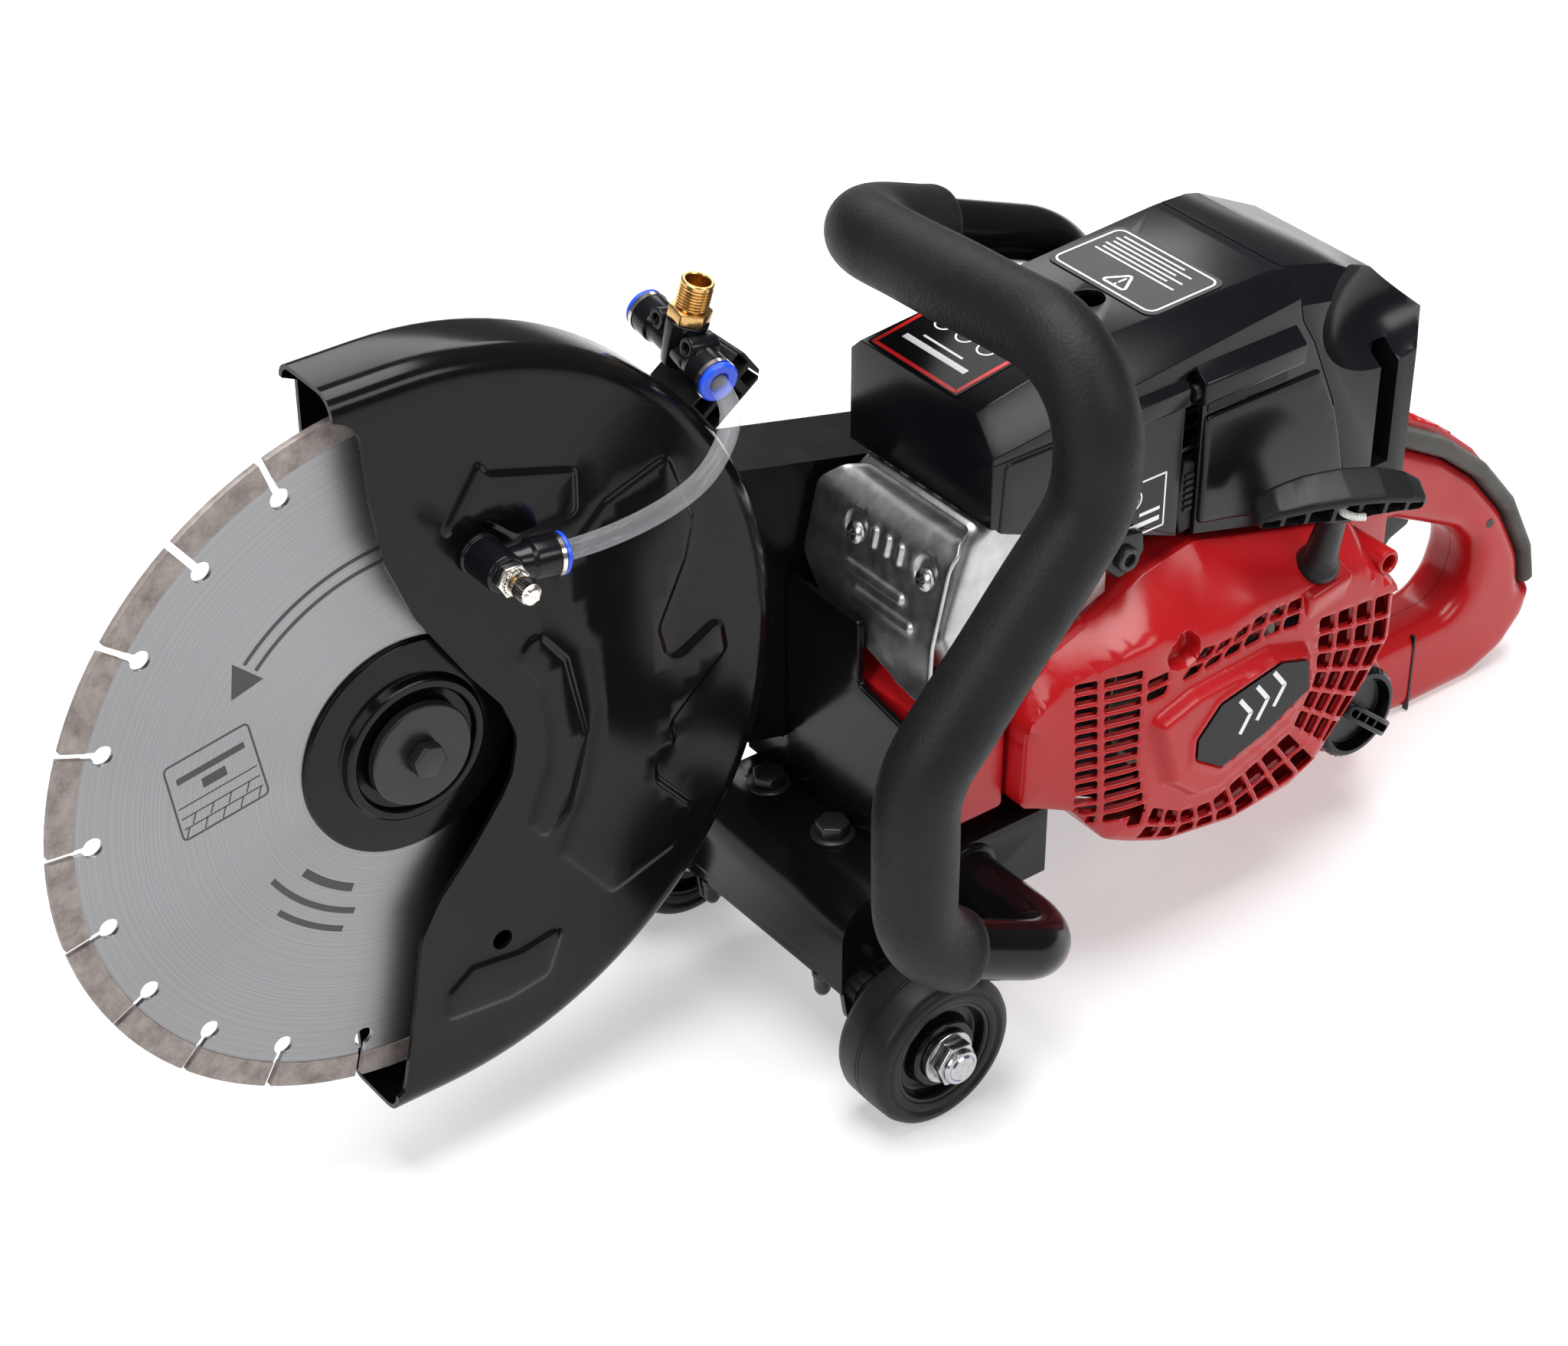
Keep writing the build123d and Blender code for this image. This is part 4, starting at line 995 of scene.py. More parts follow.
def make_nozzle(side_name, side, panel_y, axis):
    out = np.array((0.0, side, 0.0))
    base = np.array((NOZZLE_X, panel_y, NOZZLE_Z))
    body = [(-2.0 if side > 0 else -1.0, 0.0), (0.4, 8.8), (2.2, 8.8), (3.0, 8.0), (18.6, 8.0), (19.6, 7.2),
            (19.6, 0.0)]
    turret = lathe(f"nozzle_{side_name}_turret", body, base, out, "guard", "black_plastic", 48, soften=0.5)
    centre = base + out * 12
    branch = [(0.0, 0.0), (0.0, 5.8), (9.0, 6.2), (12.5, 6.9), (14.0, 8.2), (24.4, 8.2), (25.0, 7.7),
              (25.0, 4.05), (15.0, 4.05), (15.0, 0.0)]
    arm = lathe(f"nozzle_{side_name}_branch", branch, centre, axis, "guard", "black_plastic", 48, soften=0.6)
    stand_for(f"nozzle_{side_name}", turret, arm)
    collet(f"nozzle_{side_name}_collet", centre + axis * 25, axis)
    start = base + out * 19.8
    nut = prism(hexagon(12.0, 0.3), on_plane(start, FORWARD, UP, out), 0.0, 4.2)
    nut = bevelled(as_object(f"nozzle_{side_name}_nut", nut, "guard", "nickel"), 0.55, 2)
    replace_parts(nut, "water_fittings")
    needle_body = f"{side_name}_needle"
    rings = [(4.3, 2.2), (4.3, 5.2), (6.0, 5.2), (6.4, 4.8), (6.4, 2.2)]
    lock = lathe(f"nozzle_{side_name}_locknut", rings, start, out, "guard", "nickel", 72, soften=0.2,
                 closed=True, wave=knurl(0.035, 24, 5))
    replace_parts(lock, "water_fittings")
    stem = [(-4.0, 0.0), (-4.0, 2.1), (8.0, 2.1), (8.0, 0.0)]
    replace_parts(lathe(f"needle_{side_name}_stem", stem, start, out, needle_body, "brass", 32),
                f"needle_{side_name}")
    knob = [(7.6, 0.0), (7.6, 3.6), (8.4, 4.3), (15.2, 4.3), (16.2, 3.7), (16.8, 2.6), (16.8, 0.0)]
    head = lathe(f"needle_{side_name}_knob", knob, start, out, needle_body, "nickel", 96, soften=0.25,
                 wave=knurl(0.04, 24, 3.9))
    slot_cut = prism(rectangle(-5, 5, -0.45, 0.45),
                     on_plane(start, unit((1, 0, 1)), unit((-1, 0, 1)), out), 15.9, 18)
    carve(head, [slot_cut])
    shade(head.data)
    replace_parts(head, f"needle_{side_name}")


def hose(name, way, free_run, bend_points, centre, axis, node):
    """A clear hose from the tee to one nozzle: the same route as its CAD tube."""
    route = [TEE + way * 15.5, TEE + way * free_run] + [np.array(p, float) for p in bend_points]
    route += [centre + axis * 43, centre + axis * 17.5]
    data = bpy.data.curves.new(name, "CURVE")
    data.dimensions = "3D"
    data.bevel_depth = HOSE_R * MM
    data.bevel_resolution = 6
    data.resolution_u = 16
    data.use_fill_caps = True
    spline = data.splines.new("NURBS")
    spline.points.add(len(route) - 1)
    for point, place in zip(spline.points, route):
        point.co = (*at(*place), 1)
    spline.order_u = 3
    spline.use_endpoint_u = True
    obj = bpy.data.objects.new(name, data)
    bpy.context.scene.collection.objects.link(obj)
    data.materials.append(MATERIALS["clear_hose"])
    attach(obj, "guard")
    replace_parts(obj, node)
    bare = data.copy()
    bare.bevel_depth = 0
    probe = bpy.data.objects.new("probe", bare)
    line = bpy.data.meshes.new_from_object(probe)
    bpy.data.objects.remove(probe)


def make_water_kit():
    make_tee()
    make_nozzle("left", 1, GUARD_NEAR, LEFT_BRANCH)
    make_nozzle("right", -1, GUARD_FAR, RIGHT_BRANCH)
    left_centre = np.array((NOZZLE_X, GUARD_NEAR + 12, NOZZLE_Z))
    right_centre = np.array((NOZZLE_X, GUARD_FAR - 12, NOZZLE_Z))
    hose("hose_left_clear", RUN, 35, [(-121.5, 40, 106), (-101, 46, 94)], left_centre, LEFT_BRANCH,
         "hose_left")
    hose("hose_right_clear", -RUN, 36.3, [(-124.4, -73.3, 120.7), (-95.1, -76.2, 112.8)], right_centre,
         RIGHT_BRANCH, "hose_right")


LEVER = [(160, -13), (191, -13), (194, -10), (194, 2), (191, 5), (160, 5)]


def make_lever():
    """The adjusting lever on the guard's rim, with two rows of pockets."""
    def turned(points):
        return [tuple(RADIAL[[0, 2]] * u + TANGENT[[0, 2]] * t) for u, t in points]

    body = as_object("lever_body", prism(turned(LEVER), facing_y, -24, 4), "guard", "dull_plastic")
    cutters = [round_bar((0, -40, 0), LEFT, 60, GUARD_R, 160)]
    for u in (170, 180, 190):
        for t in (-8.5, 0.5):
            pocket = rectangle(u - 4, u + 2.6, t - 3.4, t + 3.4)
            cutters.append(prism(turned(pocket), facing_y, -14, 6))
    carve(body, cutters)
    bevelled(body, 0.9, 3)
    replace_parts(body, "guard_lever")
    reach = float(TEE @ TANGENT) - 4.0
    foot = lathe("tee_seat", [(0, 0), (0, 6.0), (reach, 6.0), (reach, 0)], TEE, -TANGENT, "guard",
                 "black_plastic", 32)
    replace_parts(foot, "water_tee")


# ---------------------------------------------------------------- engine covers
SHROUD = [(-232, 36), (-232, 84), (-296, 94), (-385, 97), (-392, 96), (-397, 74), (-405, 61), (-419, 29),
          (-430, -10), (-436, -30), (-414, -28), (-334, -6)]
SHROUD_HOLLOW = [(-235, 0), (-235, 81.4), (-296, 91), (-385, 94), (-392, 93), (-450, 93), (-450, -60),
                 (-235, -60)]
ENGINE_ROOM = [(-150, 47), (-165, 46.5), (-262, 24), (-352, 1.5), (-440, -20), (-440, -160), (-150, -160)]
FILTER = [(-392.4, 96), (-397.4, 74), (-405.4, 61), (-419.4, 29), (-430.4, -10), (-436.4, -30), (-489, -34),
          (-489, 24), (-478, 50), (-455, 72), (-420, 89)]
FILTER_HOLLOW = [(-380, 91), (-420, 85.6), (-453.4, 69.2), (-475.6, 48), (-486, 23), (-486, -40), (-380, -40)]
COVER_NEAR, COVER_FAR = 62.0, -27.0
NEAR_SLOPE = unit((0.06, 0.816, 0.576))
FAR_SLOPE = unit((0.05, -0.70, 0.71))
REAR_SLOPE = unit((-0.12, 0.78, 0.61))
REAR_CORNER = unit((-0.69, 0.72, 0))
NEAR_AT = np.array((-232.0, 50, 85))
FAR_AT = np.array((-232.0, -20, 85))
REAR_AT = np.array((-397.0, 58, 86))
CORNER_AT = np.array((-489.0, 42, 0))


def covered(points, y0, y1, cuts):
    shape = prism(points, facing_y, y0, y1)
    for place, normal, depth in cuts:
        slice_off(shape, Vector(place - normal * depth), Vector(normal))
    return shape


def make_shroud():
    outer = [(NEAR_AT, NEAR_SLOPE, 0), (FAR_AT, FAR_SLOPE, 0)]
    inner = [(NEAR_AT, NEAR_SLOPE, 3), (FAR_AT, FAR_SLOPE, 3)]
    shroud = as_object("top_cover", covered(SHROUD, COVER_FAR, COVER_NEAR, outer), "chassis", "black_plastic")
    cutters = [covered(SHROUD_HOLLOW, COVER_FAR + 3, COVER_NEAR - 3, inner)]
    cutters.append(prism(ENGINE_ROOM, facing_y, -70, -24))
    cutters.append(round_bar((-314, 22, 80), UP, 30, 7))
    cutters.append(block((-343.5, 50, -40), (-333.5, 80, 71)))
    cutters.append(block((-231.4, -60, 69.2), (-225, 90, 70.2)))
    cutters.append(block((-334, 61.2, 64.4), (-225, 90, 65.2)))
    carve(shroud, cutters)
    bevelled(shroud, 1.3)
    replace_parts(shroud, "engine_shroud")
    details = []
    ledge = prism([(60, 71), (65.5, 66.5), (65.5, 58), (60, 55)], lambda u, v, h: np.stack([h, u, v], 1),
                  -333, -292)
    details.append(bevelled(as_object("cover_ledge", ledge, "chassis", "black_plastic"), 0.9))
    latch = prism([(58, 76), (60, 75), (69, 67.5), (69, 58.5), (67, 56.5), (60, 56.5)],
                  lambda u, v, h: np.stack([h, u, v], 1), -394, -338)
    details.append(bevelled(as_object("cover_latch", latch, "chassis", "black_plastic"), 1.1))
    pin = round_bar((-343, 63, 62), FORWARD, 7.5, 3.4, 20)
    details.append(bevelled(as_object("latch_pin", pin, "chassis", "dull_plastic"), 0.7))
    slot = block((-390, 61.6, 49), (-346, 62.6, 56))
    details.append(as_object("latch_slot", slot, "chassis", "dull_plastic"))
    side = rounded([(-344.5, 47.5), (-344.5, -3.5), (-364, -8), (-384, -14), (-413.5, -26), (-428.5, -8),
                    (-419, 26), (-409, 47.5)], 2.5, step=2.5)
    details.append(slab("cover_side_panel", side, 60.5,
                        lambda u, v: 63.2 + 1.4 * np.sin(np.clip((v + 20) / 70, 0, 1) * 3.1), facing_y,
                        "chassis", "black_plastic", edge=1.6, grid=7))
    lower = rounded([(-333, -5), (-333, 62), (-300, 63), (-238, 63.5), (-236, 33), (-260, 23), (-303, 12)], 2,
                    step=3)
    details.append(slab("cover_front_skin", lower, 60.0, 62.9, facing_y, "chassis", "black_plastic", edge=0.9,
                        grid=12))
    well = block((-344, 50.2, -10), (-333, 52, 70))
    details.append(as_object("cover_gap_back", well, "chassis", "dull_plastic"))
    for k, z in enumerate((52.0, 31.0, 12.0)):
        bar = block((-343.8, 52, z), (-333.2, 58.5, z + 2.2))
        details.append(bevelled(as_object(f"cover_gap_rib_{k}", bar, "chassis", "black_plastic"), 0.4, 2))
    strip = prism([(-343, 26), (-337, 28), (-334, 4), (-337, -7), (-343, -6)], facing_y, 52, 60.5)
    details.append(bevelled(as_object("cover_gap_strip", strip, "chassis", "dull_plastic"), 0.8))
    for k in range(6):
        tooth = block((-342, 60.2, 20 - k * 3.2), (-337.5, 61.4, 21.6 - k * 3.2))
        details.append(as_object(f"cover_gap_tooth_{k}", tooth, "chassis", "dull_plastic"))
    stand_for("engine_shroud", *details)


SCOOP_AT, SCOOP_R = Vector((-452, 88, 66)), (52, 46, 38)


def make_filter_cover():
    outer = [(REAR_AT, REAR_SLOPE, 0), (CORNER_AT, REAR_CORNER, 0), (FAR_AT, FAR_SLOPE, 0)]
    inner = [(REAR_AT, REAR_SLOPE, 3), (FAR_AT, FAR_SLOPE, 3)]
    cover = as_object("filter_lid", covered(FILTER, COVER_FAR, COVER_NEAR, outer), "chassis", "black_plastic")
    cutters = [covered(FILTER_HOLLOW, COVER_FAR + 3, COVER_NEAR - 31, inner)]
    cutters.append(block((-457.5, 46, -15), (-447, 75, 42)))
    cutters.append(ball(72, 40,
                        lambda p: SCOOP_AT + Vector((p.x * SCOOP_R[0], p.y * SCOOP_R[1], p.z * SCOOP_R[2]))))
    carve(cover, cutters)
    bevelled(cover, 1.3, angle=28)
    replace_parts(cover, "filter_cover")


# ---------------------------------------------------------------- printed labels
def top_height(x):
    """Height of the cover's top face at x."""
    return np.interp(-x, [232, 296, 385, 392], [84, 94, 97, 96])


def strip_loop(points, width, r, place, name, material, low=0.0, high=0.25, closed=True):
    """A thin printed line along an outline."""
    line = rounded(points, r, closed=closed, step=1.5)
    ahead = np.roll(line, -1, 0) - np.roll(line, 1, 0)
    if not closed:
        ahead[0], ahead[-1] = line[1] - line[0], line[-1] - line[-2]
    side = np.stack([-ahead[:, 1], ahead[:, 0]], 1)
    side /= np.maximum(np.linalg.norm(side, axis=1), 1e-9)[:, None]
    a, b = line + side * width / 2, line - side * width / 2
    count = len(line)
    verts = np.concatenate([place(p[:, 0], p[:, 1], np.full(count, h)) for h in (high, low) for p in (a, b)])
    faces = []
    for i in range(count if closed else count - 1):
        j = (i + 1) % count
        faces.append((i, j, count + j, count + i))
        faces.append((2 * count + i, 3 * count + i, 3 * count + j, 2 * count + j))
        faces.append((i, 2 * count + i, 2 * count + j, j))
        faces.append((count + i, count + j, 3 * count + j, 3 * count + i))
    if not closed:
        last = count - 1
        faces.append((0, count, 3 * count, 2 * count))
        faces.append((last, 2 * count + last, 3 * count + last, count + last))
    return finish_mesh(name, verts, faces, "chassis", material)


def flat_patch(name, outline, place, material, low, high):
    """A plain printed patch."""
    return as_object(name, prism(outline, place, low, high), "chassis", material)


def bars(name, rows, place, material, low, high):
    """Plain printed bars, each (u0, u1, v0, v1), joined into one piece."""
    whole = bmesh.new()
    for u0, u1, v0, v1 in rows:
        add_prism(whole, rectangle(u0, u1, v0, v1), place, low, high)
    bmesh.ops.recalc_face_normals(whole, faces=whole.faces)
    return as_object(name, whole, "chassis", material)


def make_labels():
    slope = unit((89, 0, -3))
    normal = unit((3, 0, 89))
    plate = on_plane((-343, 18, float(top_height(-343))), slope, LEFT, normal)
    pieces = [flat_patch("top_label", rounded(rectangle(-21, 21, -32, 32), 5), plate, "label_black", 0.0,
                         0.5)]
    pieces.append(strip_loop(rectangle(-18.6, 18.6, -29.6, 29.6), 0.9, 4, plate, "top_label_frame",
                             "label_white", 0.5, 0.62))
    pieces.append(strip_loop([(4, 3), (15, -4), (15, 10)], 1.2, 1.2, plate, "top_label_warning",
                             "label_white", 0.5, 0.62))
    lines = [(-1 - k * 2.9, -0.1 - k * 2.9, -25 + (k % 2) * 1.5, 22 - (k * 7) % 13) for k in range(6)]
    lines += [(7.5, 12.0, 2.6, 3.5), (13.0, 14.0, 2.6, 3.5)]
    pieces.append(bars("top_label_lines", lines, plate, "label_white", 0.5, 0.6))
    front_slope, front_normal = unit((64, 0, -10)), unit((10, 0, 64))
    front = on_plane((-240, 10, float(top_height(-240))), front_slope, LEFT, front_normal)
    pieces.append(flat_patch("front_label", rectangle(-48, 6.5, -28, 27), front, "label_black", 0.0, 0.45))
    pieces.append(strip_loop(rectangle(-46, 5, -26, 25), 1.8, 0.2, front, "front_label_frame", "label_red",
                             0.45, 0.6, closed=False))
    marks = [(-7.5, -4.5, -20, 18), (-11.5, -10.4, -14, 10), (-36, -30, -18, -12), (-24, -18, -18, -12)]
    pieces.append(bars("front_label_marks", marks[:2], front, "label_white", 0.45, 0.58))
    for k, (u, v) in enumerate(((-22, -14), (-22, -1), (-22, 12))):
        pieces.append(strip_loop(circle(u, v, 4.2, 24), 0.8, 0, front, f"front_label_ring_{k}", "label_white",
                                 0.45, 0.58))
    side = on_plane((0, 62.9, 0), FORWARD, UP, LEFT)
    pieces.append(strip_loop(rectangle(-324.5, -300, 4, 29), 0.8, 0.1, side, "side_label_frame",
                             "label_white", 0.0, 0.12))
    for k, r in enumerate((1.4, 3.0, 4.6)):
        arc = [(-307 - r * math.cos(t), 21.5 + r * math.sin(t)) for t in np.linspace(-1.2, 1.2, 12)]
        pieces.append(strip_loop(arc, 0.7, 0, side, f"side_label_arc_{k}", "label_white", 0.0, 0.12,
                                 closed=False))
    rows = [(-322, -303, 7.5, 9.6), (-322, -311, 12.5, 14)]
    pieces.append(bars("side_label_bars", rows, side, "label_white", 0.0, 0.12))
    badge_at = on_plane((0, 90.6, 0), FORWARD, UP, LEFT)
    pieces.append(flat_patch("badge", rounded(BADGE, 2, step=1.5), badge_at, "label_black", -1.0, 0.8))
    for k in range(3):
        u = -351 - k * 9.5
        chevron = [(u, -97 + k * 3.2), (u - 5.5, -88 + k * 3.2), (u + 1.5, -79 + k * 3.2)]
        pieces.append(strip_loop(chevron, 2.2, 0.4, badge_at, f"badge_chevron_{k}", "label_white", 0.8, 0.95,
                                 closed=False))
    stand_for("nameplates", *pieces)


# ---------------------------------------------------------------- starter housing
STARTER = [(-248, -104), (-274, -114), (-290, -134), (-322, -150.5), (-362, -157), (-396, -154), (-413, -146),
           (-441, -114), (-454, -94), (-454, -62), (-438, -38), (-400, -28), (-345, -13), (-318, -18),
           (-262, -41), (-250, -62)]
STARTER_TOP = [(-454, -62), (-438, -38), (-400, -28), (-345, -13), (-318, -18), (-262, -41), (-250, -62)]
CREASE = [(-246, -64), (-268, -47), (-290, -39), (-308, -36), (-330, -46), (-345, -48), (-363, -42),
          (-392, -42), (-420, -47), (-450, -66)]
BADGE_PAD = [(-302, -74), (-326, -66), (-371, -63), (-396, -71), (-398, -93), (-387, -112), (-344, -128),
             (-330, -125), (-313, -111)]
BADGE = [(-327, -100), (-327, -90), (-339, -77), (-373, -70), (-389, -75), (-391, -90), (-366, -103),
         (-342, -110)]
STARTER_FACE, STARTER_BACK, PAD_RISE = 84.0, 44.0, 6.0
STARTER_WALL = 3.4
SCREW_HOLLOW = (-322, -47)


def spaced(points, count):
    """count + 1 equally spaced points along a smooth line."""
    line = rounded(points, 14, closed=False, step=1.5)
    run = lengths_along(line)
    where = np.linspace(0, run[-1], count + 1)
    return np.stack([np.interp(where, run, line[:, 0]), np.interp(where, run, line[:, 1])], 1)


def windows_between(inner, outer, rows, columns, bar):
    """Windows in a band between two lines, with bars of the given width between them."""
    fine = 6
    a, b = spaced(inner, columns * fine), spaced(outer, columns * fine)
    out = []
    for row in range(rows):
        for column in range(columns):
            lo, hi = column * fine, (column + 1) * fine
            line_a = a[lo:hi + 1] + (b[lo:hi + 1] - a[lo:hi + 1]) * (row / rows)
            line_b = a[lo:hi + 1] + (b[lo:hi + 1] - a[lo:hi + 1]) * ((row + 1) / rows)
            cell = np.concatenate([line_a, line_b[::-1]])
            cell = cell[[0, fine // 2, fine, fine + 1, fine + 1 + fine // 2, -1]]
            area = 0.5 * abs((cell[:, 0] * np.roll(cell[:, 1], -1) - np.roll(cell[:, 0], -1)
                              * cell[:, 1]).sum())
            if area < 25:
                continue
            shrunk = shrink(cell, bar / 2)
            if shrunk is not None:
                out.append(rounded(shrunk, 1.1, step=1.6))
    return out


def shrink(cell, d):
    """The polygon with each side moved inwards by d."""
    area = (cell[:, 0] * np.roll(cell[:, 1], -1) - np.roll(cell[:, 0], -1) * cell[:, 1]).sum()
    sign = 1 if area > 0 else -1
    out = []
    for i in range(len(cell)):
        a, p, b = cell[i - 1], cell[i], cell[(i + 1) % len(cell)]
        u, v = (p - a) / np.linalg.norm(p - a), (b - p) / np.linalg.norm(b - p)
        n1, n2 = sign * np.array((-u[1], u[0])), sign * np.array((-v[1], v[0]))
        out.append(p + (n1 + n2) / max(1e-6, 1 + float(n1 @ n2)) * d)
    out = np.array(out)
    new_area = (out[:, 0] * np.roll(out[:, 1], -1) - np.roll(out[:, 0], -1) * out[:, 1]).sum()
    return out if new_area * area > 0 and abs(new_area) > 16 else None


def starter_windows():
    loops = []
    for row in range(12):
        z = -49.5 - row * 6.4
        lean = row * 0.33
        for u0, u1 in ((-280 - lean, -270.5 - lean), (-300 - max(0, row - 7) * 1.4, -283 - lean)):
            loops.append(rectangle(u0, u1, z - 2.1, z + 2.1))
    loops.append(rectangle(-314, -303, -58, -53.8))
    loops.append([(-312, -64.4), (-303, -64.4), (-303, -60.2), (-315, -60.2)])
    loops.append([(-306, -119), (-299, -121), (-297, -127), (-304, -128)])
    windows = [rounded(loop, 1.1, step=1.6) for loop in loops]
    top_inner = [(-319, -63), (-340, -61.5), (-371, -59.5), (-390, -62)]
    top_outer = [(-333, -49), (-345, -51), (-366, -45.5), (-391, -46)]
    windows += windows_between(top_inner, top_outer, 2, 6, 2.2)
    right_inner = [(-401, -62), (-402, -94), (-391, -115)]
    right_outer = [(-446, -66), (-447, -92), (-416, -137)]
    windows += windows_between(right_inner, right_outer, 4, 6, 2.3)
    low_inner = [(-310, -121), (-328, -131), (-345, -134), (-390, -117)]
    low_outer = [(-303, -138), (-324, -146), (-362, -151), (-410, -141)]
    windows += windows_between(low_inner, low_outer, 2, 9, 2.2)
    return windows


def starter_height(u, v):
    p = np.stack([u, v], 1)
    outline = rounded(STARTER, 8, step=3)
    edge = distance(p, outline)
    top = distance(p, rounded(STARTER_TOP, 12, closed=False, step=3), closed=False)
    crease_line = rounded(CREASE, 14, closed=False, step=3)
    crease = distance(p, crease_line, closed=False)
    above = v > np.interp(-u, -crease_line[:, 0], crease_line[:, 1])
    front = np.clip((u + 308) / 58, 0, 1)
    face = STARTER_FACE - 13 * front ** 2 * (3 - 2 * front)
    climb = np.where(above, crease / np.maximum(crease + top, 0.01), 0.0)
    face = face - (face - 61.0) * climb ** 1.25
    low_edge = np.clip(np.where(top > edge + 2, edge, 99), 0, 13) / 13
    back = np.clip((-u - 262) / 60, 0.25, 1)
    face = face - 13 * back * (1.0 - np.sqrt(np.maximum(1 - (1 - low_edge) ** 2, 0)))
    pad = signed(p, rounded(BADGE_PAD, 7, step=2))
    face = face + PAD_RISE * step_up(pad + 0.5, 6.5)
    badge = signed(p, rounded(BADGE, 3, step=2))
    face = face + 1.1 * step_up(badge + 4.2, 1.6) - 1.1 * step_up(badge + 1.4, 1.2)
    screw = np.hypot((u - SCREW_HOLLOW[0]) / 1.15, v - SCREW_HOLLOW[1])
    return face - 8.0 * step_up(8.4 - screw, 2.0)


def make_starter_cover():
    outline = rounded(STARTER, 8, step=2.5)
    holes = starter_windows()
    loops = [outline] + holes
    sides = sides_of(loops)
    rim = np.concatenate(loops)
    extra = [ring_points(outline, d) for d in (0.5, 1.6, 3.2, 5.0, 8.0)]
    extra += [ring_points(rounded(BADGE_PAD, 7, step=2), d) for d in (-0.6, 0.6, 1.8, 3.0, 4.4, 6.0)]
    extra += [ring_points(rounded(BADGE, 3, step=2), d) for d in (-4.2, -3.4, -2.6, -1.4, -0.8, -0.2)]
    extra += [circle(*SCREW_HOLLOW, r, 28) for r in (7.0, 7.6, 8.2, 8.8, 9.3)]
    extra += [ring_points(hole, -0.8) for hole in holes]
    extra.append(np.array([(u, v) for u in np.arange(-462, -246, 3.2) for v in np.arange(-164, -10, 3.2)]))
    free = np.concatenate(extra)
    keep = inside(free, outline)
    for hole in holes:
        keep &= ~inside(free, hole)
    free = free[keep]
    gap = np.min([distance(free, loop) for loop in loops], 0)
    free = free[gap > 0.45]
    points = np.concatenate([rim, free])
    tris = triangles(points, loops, sides)
    height = starter_height(points[:, 0], points[:, 1])
    gap = np.min([distance(points, hole) for hole in holes], 0)
    gap[len(outline):len(rim)] = 0
    height = height - 0.7 * (1 - step_up(gap, 0.8))
    verts = [facing_y(points[:, 0], points[:, 1], height)]
    faces = [tuple(t) for t in tris]
    offset, count = len(points), len(outline)
    verts.append(facing_y(outline[:, 0], outline[:, 1], np.full(count, STARTER_BACK)))
    faces += [(i, (i + 1) % count, offset + (i + 1) % count, offset + i) for i in range(count)]
    cover = finish_mesh("starter_housing", np.concatenate(verts), faces, "chassis", "red_plastic")
    flip_outward(cover)
    wall = cover.modifiers.new("wall", "SOLIDIFY")
    wall.thickness = STARTER_WALL * MM
    wall.offset = -1
    baked(cover)
    shade(cover.data, True, math.radians(42))
    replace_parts(cover, "starter_cover")
    back_line = ring_points(rounded(STARTER, 6, step=4), 5.0)
    back = slab("housing_back", back_line, 44.4, 46.0, facing_y, "chassis", "dull_plastic",
                holes=[circle(-352, -83, 10, 32)], grid=20)
    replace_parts(back, "starter_cover")
    side = unit(np.cross(PULL, LEFT))
    front = unit(np.cross(side, PULL))
    boss = prism(rectangle(-13, 13, -11, 12), on_plane(ROPE_EXIT, side, front, PULL), -20, -0.6)
    boss = bevelled(as_object("rope_boss", boss, "chassis", "red_plastic"), 3.2, 4)
    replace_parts(boss, "starter_cover")
    tube_ring = [(-8, 3.8), (-8, 6.2), (17.0, 6.2), (18.0, 5.4), (18.0, 4.2), (17.2, 3.8)]
    ring = lathe("housing_tube_boss", tube_ring, (-446, 62, -54), LEFT, "chassis", "red_plastic", 40,
                 soften=0.5, closed=True)
    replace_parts(ring, "starter_cover")
    low = lathe("housing_low_screw", [(0, 0), (0, 5.2), (5.0, 5.2), (5.6, 4.4), (5.6, 2.6), (3, 2.6), (3, 0)],
                (-283, 44, -125), LEFT, "chassis", "dull_plastic", 32, soften=0.3)
    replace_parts(low, "starter_cover")
    hollow_screw = lathe("housing_screw",
                         [(0, 0), (0, 5.0), (3.0, 5.0), (3.6, 4.3), (3.6, 2.4), (1.6, 2.4), (1.6, 0)],
                         (SCREW_HOLLOW[0], 67.5, SCREW_HOLLOW[1]), LEFT, "chassis", "zinc", 32, soften=0.3)
    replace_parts(hollow_screw, "starter_cover")


# ---------------------------------------------------------------- recoil grip and rope
PULL = unit((0.16, 0.34, 0.93))
ROPE_EXIT = np.array((-402.0, 78.0, -40.0))
BAR_AXIS = unit((-0.91, 0.41, 0.0))
BAR_AXIS = unit(BAR_AXIS - PULL * float(BAR_AXIS @ PULL))
GRIP_MID = ROPE_EXIT + PULL * 50


